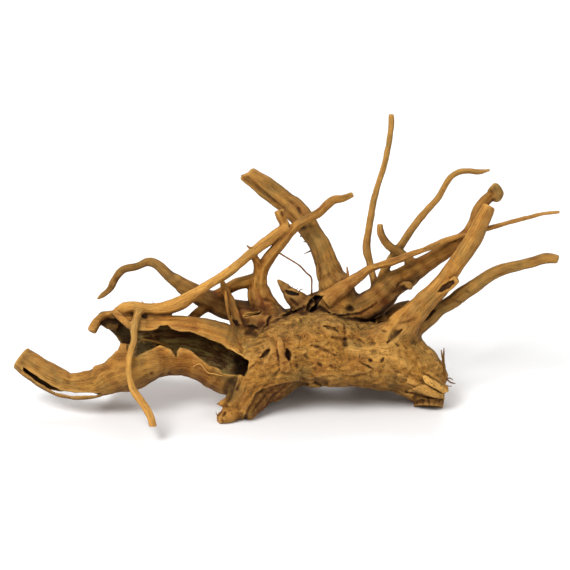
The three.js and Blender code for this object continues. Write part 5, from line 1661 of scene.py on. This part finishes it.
def sound_wood(nodes, settings, look):
    """The colour of sound wood, smooth or knotty: greyed, reddened, worn pale, cracked, pitted."""
    smooth = nodes.ramp(
        nodes.mix_values(0.42, look.broad, look.fine),
        [(0.38, settings.brown), (0.49, settings.amber), (0.62, settings.tan)],
    )
    speckle = nodes.mix_values(0.45, look.grains, look.mottle)
    knotty = nodes.ramp(
        nodes.mix_values(0.3, speckle, look.patches),
        [(0.4, settings.brown), (0.49, settings.burl), (0.6, settings.tan)],
    )
    patchy = nodes.span(nodes.span(look.patches, 0.35, 0.65), 0.0, 1.0, 0.45, 1.0)
    grains = nodes.span(look.grains, 0.52, 0.62, 0.0, 0.7)
    return nodes.coated(nodes.mix(look.knotty, smooth, knotty), [
        (nodes.span(look.drift, 0.52, 0.66, 0.0, 0.6), settings.lichen),
        (nodes.span(look.drift, 0.48, 0.34, 0.0, 0.6), settings.russet),
        (nodes.times(look.grey, patchy, 0.92), settings.lichen),
        (nodes.times(look.red, nodes.span(look.broad, 0.3, 0.6, 1.0, 0.55)), settings.russet),
        (nodes.times(look.pale, nodes.span(look.fine, 0.3, 0.65, 0.2, 0.8)), settings.straw),
        (nodes.times(grains, look.grey, look.knotty), settings.tan),
        (nodes.times(look.cracks, 0.55), settings.umber),
        (nodes.times(look.nicks, nodes.span(look.knotty, 0.0, 1.0, 0.75, 0.1)), settings.umber),
        (look.pits, settings.umber),
    ])


def whole_wood(nodes, settings, look):
    """The colour of all the wood: sound, in the hollow, at cut ends, with painted shade in recesses, in
    grooves and at edges that turn away, and a painted highlight on ridges.
    """
    hollow = nodes.ramp(
        nodes.mix_values(0.4, look.broad, look.fine),
        [(0.36, settings.soot), (0.47, settings.peat), (0.58, settings.moss)],
    )
    # Painted shade: the colour turns to rim where the wood turns away from the view
    edge = nodes.add("ShaderNodeLayerWeight", {"Blend": 0.5}).outputs["Facing"]
    painted_edge_shade = nodes.times(
        nodes.span(edge, 0.55, 1.0, 0.0, 0.5),
        nodes.span(look.dark, 0.2, 0.7, 1.0, 0.0),
        nodes.span(look.inside, 0.0, 0.5, 1.0, 0.0),
    )
    # Painted shade in recesses, weaker on the hollow's wall
    painted_recess_shade = nodes.times(
        nodes.span(look.recess, 0.3, 0.95), nodes.span(look.inside, 0.0, 1.0, 0.9, 0.2)
    )
    return nodes.coated(sound_wood(nodes, settings, look), [
        (look.inside, hollow),
        (nodes.times(look.ends, 0.8), nodes.mix(look.rings, settings.brown, settings.straw)),
        # The dark leaning is partly the wood's own dark colour and partly painted shade from undersides
        # and shadowed marks
        (nodes.times(look.dark, 0.9), settings.umber),
        (nodes.span(look.dark, 0.75, 1.0, 0.0, 0.85), settings.char),
        (painted_recess_shade, settings.umber),
        # Painted shade in grooves and a painted highlight on ridges, by how far each vertex stands out
        (nodes.span(look.ridge, 0.0, -0.4, 0.0, 0.75), settings.umber),
        (nodes.span(look.ridge, 0.05, 0.5, 0.0, 0.4), settings.straw),
        (painted_edge_shade, settings.rim),
    ])


def wood_material(settings):
    """Bare dry wood: streaked along the limbs, speckled on the burl, with painted shade in its recesses.
    """
    if "spiderwood" in bpy.data.materials:
        return bpy.data.materials["spiderwood"]
    material = bpy.data.materials.new("spiderwood")
    material.use_nodes = True
    material.node_tree.nodes.clear()
    nodes = Nodes(material.node_tree)
    look = look_nodes(nodes)
    grains = nodes.mix_values(look.knotty, look.fine, look.grains)
    height = nodes.math("SUBTRACT", grains, nodes.times(look.cracks, 0.35))
    height = nodes.math("SUBTRACT", height, nodes.times(look.pits, 0.6))
    bump = nodes.add("ShaderNodeBump", {"Strength": 0.75, "Distance": 0.0007, "Height": height})
    shader = nodes.add("ShaderNodeBsdfPrincipled", {
        "Base Color": whole_wood(nodes, settings, look),
        "Roughness": nodes.span(grains, 0.3, 0.7, 0.9, 0.62),
        "Specular IOR Level": 0.12,
        "Normal": bump.outputs[0],
    })
    nodes.add("ShaderNodeOutputMaterial", {0: shader.outputs[0]})
    return material


def colour_setting(name, description, *shown):
    """A setting for a colour, from how it shows on a screen, 0 to 255."""
    return FloatVectorProperty(
        name=name, description=description, default=linear(*shown), subtype="COLOR", min=0, max=1
    )


def tone_setting(name, where, *shares):
    """A setting for a tone of dark, red, grey and pale."""
    description = f"Shares of dark, red, grey and pale in {where}"
    return FloatVectorProperty(
        name=name, description=description, default=shares, size=4, min=0, max=2
    )


def power_setting(name, where, power):
    """A setting for a light's power."""
    description = f"Power of the {where}"
    return FloatProperty(name=name, description=description, default=power, unit="POWER")


class WoodSettings(bpy.types.PropertyGroup):
    """The fineness and the colours of the wood."""

    grid_step: FloatProperty(
        name="Grid step", description="Spacing of the grid that the wood grows on",
        default=0.0012, min=0.001, max=0.006, unit="LENGTH",
    )
    triangles: IntProperty(
        name="Triangles", description="Most triangles that the wood may have", default=196000
    )

    brown: colour_setting("Brown", "The darker streaks", 106, 60, 17)
    amber: colour_setting("Amber", "The wood between light and dark streaks", 160, 100, 33)
    tan: colour_setting("Tan", "The lighter streaks", 198, 137, 54)
    burl: colour_setting("Burl", "The burl between its grains", 152, 99, 34)
    # Straw is also the painted highlight on ridges
    straw: colour_setting("Straw", "Worn ridges and pale limbs", 228, 174, 92)
    lichen: colour_setting("Lichen", "Greyed wood that light has bleached", 102, 88, 48)
    russet: colour_setting("Russet", "Red-brown heartwood", 122, 60, 22)
    # Umber is also painted shade: in recesses, in grooves, on undersides and in shadows
    umber: colour_setting("Umber", "Recesses, cracks and dark limbs", 46, 26, 12)
    # Rim is painted shade, laid where the wood turns away from the view
    rim: colour_setting("Rim", "The dusky look of the wood where it turns away", 84, 70, 34)
    # Char also deepens the painted shade of the darkest shadowed marks
    char: colour_setting("Char", "The deepest cracks and holes", 15, 10, 6)
    soot: colour_setting("Soot", "The darkest wood in the hollow", 88, 58, 36)
    peat: colour_setting("Peat", "The brown wall of the hollow", 150, 110, 66)
    moss: colour_setting("Moss", "The greenish wall of the hollow", 206, 184, 112)


class StrandSettings(bpy.types.PropertyGroup):
    """How the rootlets, fibres and hairs are coloured."""

    rootlet_tone: tone_setting("Rootlets", "the rootlets", 0.2, 0.45, 0, 0.2)
    fibre_tone: tone_setting("Fibres", "the fibres", 0, 0, 0, 2)
    hair_tone: tone_setting("Hairs", "the hairs", 0.45, 0.1, 0.6, 0)


class StageSettings(bpy.types.PropertyGroup):
    """The floor and the lights round the root."""

    floor_colour: FloatVectorProperty(
        name="Floor", description="Colour of the floor", default=(0.9, 0.9, 0.9), subtype="COLOR",
        min=0, max=1,
    )
    key_power: power_setting("Key light", "large light at the upper left", 215.0)
    fill_power: power_setting("Fill light", "weak light at the right", 22.0)
    back_power: power_setting("Back light", "large light above the floor behind", 140.0)
    sky: FloatProperty(
        name="Surroundings", description="Strength of the white surroundings", default=0.42
    )


def place_floor(scene, colour):
    """A wide level floor under the root."""
    half = FLOOR_HALF_WIDTH
    corners = np.array([[-half, -half, 0], [half, -half, 0], [half, half, 0], [-half, half, 0]])
    floor = bpy.data.objects.new("floor", mesh_of("floor", corners, np.array([[0, 1, 2, 3]])))
    scene.collection.objects.link(floor)
    paint = bpy.data.materials.new("pale floor")
    paint.use_nodes = True
    shader = paint.node_tree.nodes["Principled BSDF"]
    shader.inputs["Base Color"].default_value = (*colour, 1)
    shader.inputs["Roughness"].default_value = 0.9
    floor.data.materials.append(paint)


def place_light(scene, name, power):
    """One of LIGHTS, aimed at its target near the root."""
    place, target, size = LIGHTS[name]
    light = bpy.data.lights.new(name, "AREA")
    light.energy = power
    light.size = size
    lamp = bpy.data.objects.new(name, light)
    lamp.location = place
    lamp.rotation_euler = (Vector(target) - Vector(place)).to_track_quat("-Z", "Y").to_euler()
    scene.collection.objects.link(lamp)


def place_camera(scene):
    """The camera that sees the drawing as it was drawn."""
    camera = bpy.data.cameras.new("camera")
    camera.lens = camera.sensor_width * VIEW_DISTANCE / PICTURE_WIDTH
    eye = bpy.data.objects.new("camera", camera)
    eye.location = to_room(np.array([0.0, 0.0, VIEW_DISTANCE]))
    eye.rotation_euler = Euler((math.pi / 2 - VIEW_TILT, 0, 0))
    scene.collection.objects.link(eye)
    scene.camera = eye


class ROOT_OT_grow_wood(bpy.types.Operator):
    """Grow the wood: the burl, the hollow trunk, the feet and every limb, in one surface"""

    bl_idname = "root.grow_wood"
    bl_label = "Grow the wood"

    def execute(self, context):
        settings = context.scene.root_wood
        field = grow_root(settings.grid_step / MILLIMETRE)
        vertices, quads = level_surface(field)
        vertices, faces = thinned(vertices, quads, settings.triangles)
        vertices = settled(vertices, field)
        slope = field.slope(vertices, 1.2 * field.step)
        normals = slope / np.maximum(np.linalg.norm(slope, axis=1), 1e-6)[:, None]
        look = look_of(vertices, normals, field)
        lying = to_room(vertices)[:, 2] < LYING_FLAT
        relief = fine_relief(vertices, look) * ~lying
        vertices += normals * relief[:, None]
        room = to_room(vertices)
        room[:, 2] = np.maximum(room[:, 2], 0)
        wood = place_piece("grown_wood", room, faces, wood_material(settings))
        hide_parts(NODE)
        # How far each vertex stands out, which the material turns into painted shade in grooves and a
        # painted highlight on ridges
        ridge = ridges_of(wood.data, vertices, normals)
        add_look(wood.data, look.grain, look.mix, look.tone, look.kind, ridge)
        return {"FINISHED"}


class ROOT_OT_grow_rootlets(bpy.types.Operator):
    """Grow the thin rootlets that hang and reach between the limbs"""

    bl_idname = "root.grow_rootlets"
    bl_label = "Grow the rootlets"

    def execute(self, context):
        tone = context.scene.root_strands.rootlet_tone
        place_tubes("rootlets", ROOTLETS.values(), list(tone), context.scene.root_wood)
        return {"FINISHED"}


class ROOT_OT_grow_fibres(bpy.types.Operator):
    """Grow the fibres and splinters on the wood, and the hairs that stand clear of it"""

    bl_idname = "root.grow_fibres"
    bl_label = "Grow the fibres"

    def execute(self, context):
        strands = context.scene.root_strands
        wood = context.scene.objects["grown_wood"]
        lying = [resting(rows, wood) for rows in FIBRES.values()]
        place_tubes("fibres", lying, list(strands.fibre_tone), context.scene.root_wood)
        place_tubes("hairs", HAIRS.values(), list(strands.hair_tone), context.scene.root_wood)
        return {"FINISHED"}


class ROOT_OT_set_stage(bpy.types.Operator):
    """Set the floor, the lights, the surroundings and the camera"""

    bl_idname = "root.set_stage"
    bl_label = "Set the stage"

    def execute(self, context):
        scene = context.scene
        settings = scene.root_stage
        place_floor(scene, settings.floor_colour)
        for name in LIGHTS:
            place_light(scene, name, getattr(settings, f"{name}_power"))
        world = bpy.data.worlds.new("white surroundings")
        world.use_nodes = True
        background = world.node_tree.nodes["Background"]
        background.inputs["Color"].default_value = (1, 1, 1, 1)
        background.inputs["Strength"].default_value = settings.sky
        scene.world = world
        scene.view_settings.view_transform = "Standard"
        place_camera(scene)
        return {"FINISHED"}


class ROOT_PT_panel(bpy.types.Panel):
    """The pieces of the root and their settings"""

    bl_idname = "ROOT_PT_panel"
    bl_label = "Spiderwood root"
    bl_space_type = "VIEW_3D"
    bl_region_type = "UI"
    bl_category = "Root"

    def draw(self, context):
        layout = self.layout
        for settings, operators in (
            (context.scene.root_wood, (ROOT_OT_grow_wood,)),
            (context.scene.root_strands, (ROOT_OT_grow_rootlets, ROOT_OT_grow_fibres)),
            (context.scene.root_stage, (ROOT_OT_set_stage,)),
        ):
            box = layout.box()
            for name in settings.__annotations__:
                box.prop(settings, name)
            for operator in operators:
                box.operator(operator.bl_idname)


CLASSES = (
    WoodSettings, StrandSettings, StageSettings, ROOT_OT_grow_wood, ROOT_OT_grow_rootlets,
    ROOT_OT_grow_fibres, ROOT_OT_set_stage, ROOT_PT_panel,
)


def register():
    """Registers the classes and gives each scene the three groups of settings."""
    for one in CLASSES:
        bpy.utils.register_class(one)
    bpy.types.Scene.root_wood = PointerProperty(type=WoodSettings)
    bpy.types.Scene.root_strands = PointerProperty(type=StrandSettings)
    bpy.types.Scene.root_stage = PointerProperty(type=StageSettings)


def unregister():
    """Takes the settings and the classes away again."""
    del bpy.types.Scene.root_wood
    del bpy.types.Scene.root_strands
    del bpy.types.Scene.root_stage
    for one in reversed(CLASSES):
        bpy.utils.unregister_class(one)


def main():
    """Registers the settings, grows the root, its rootlets and its fibres, and sets the stage."""
    register()
    bpy.ops.root.grow_wood()
    bpy.ops.root.grow_rootlets()
    bpy.ops.root.grow_fibres()
    bpy.ops.root.set_stage()


if __name__ == "__main__":
    main()
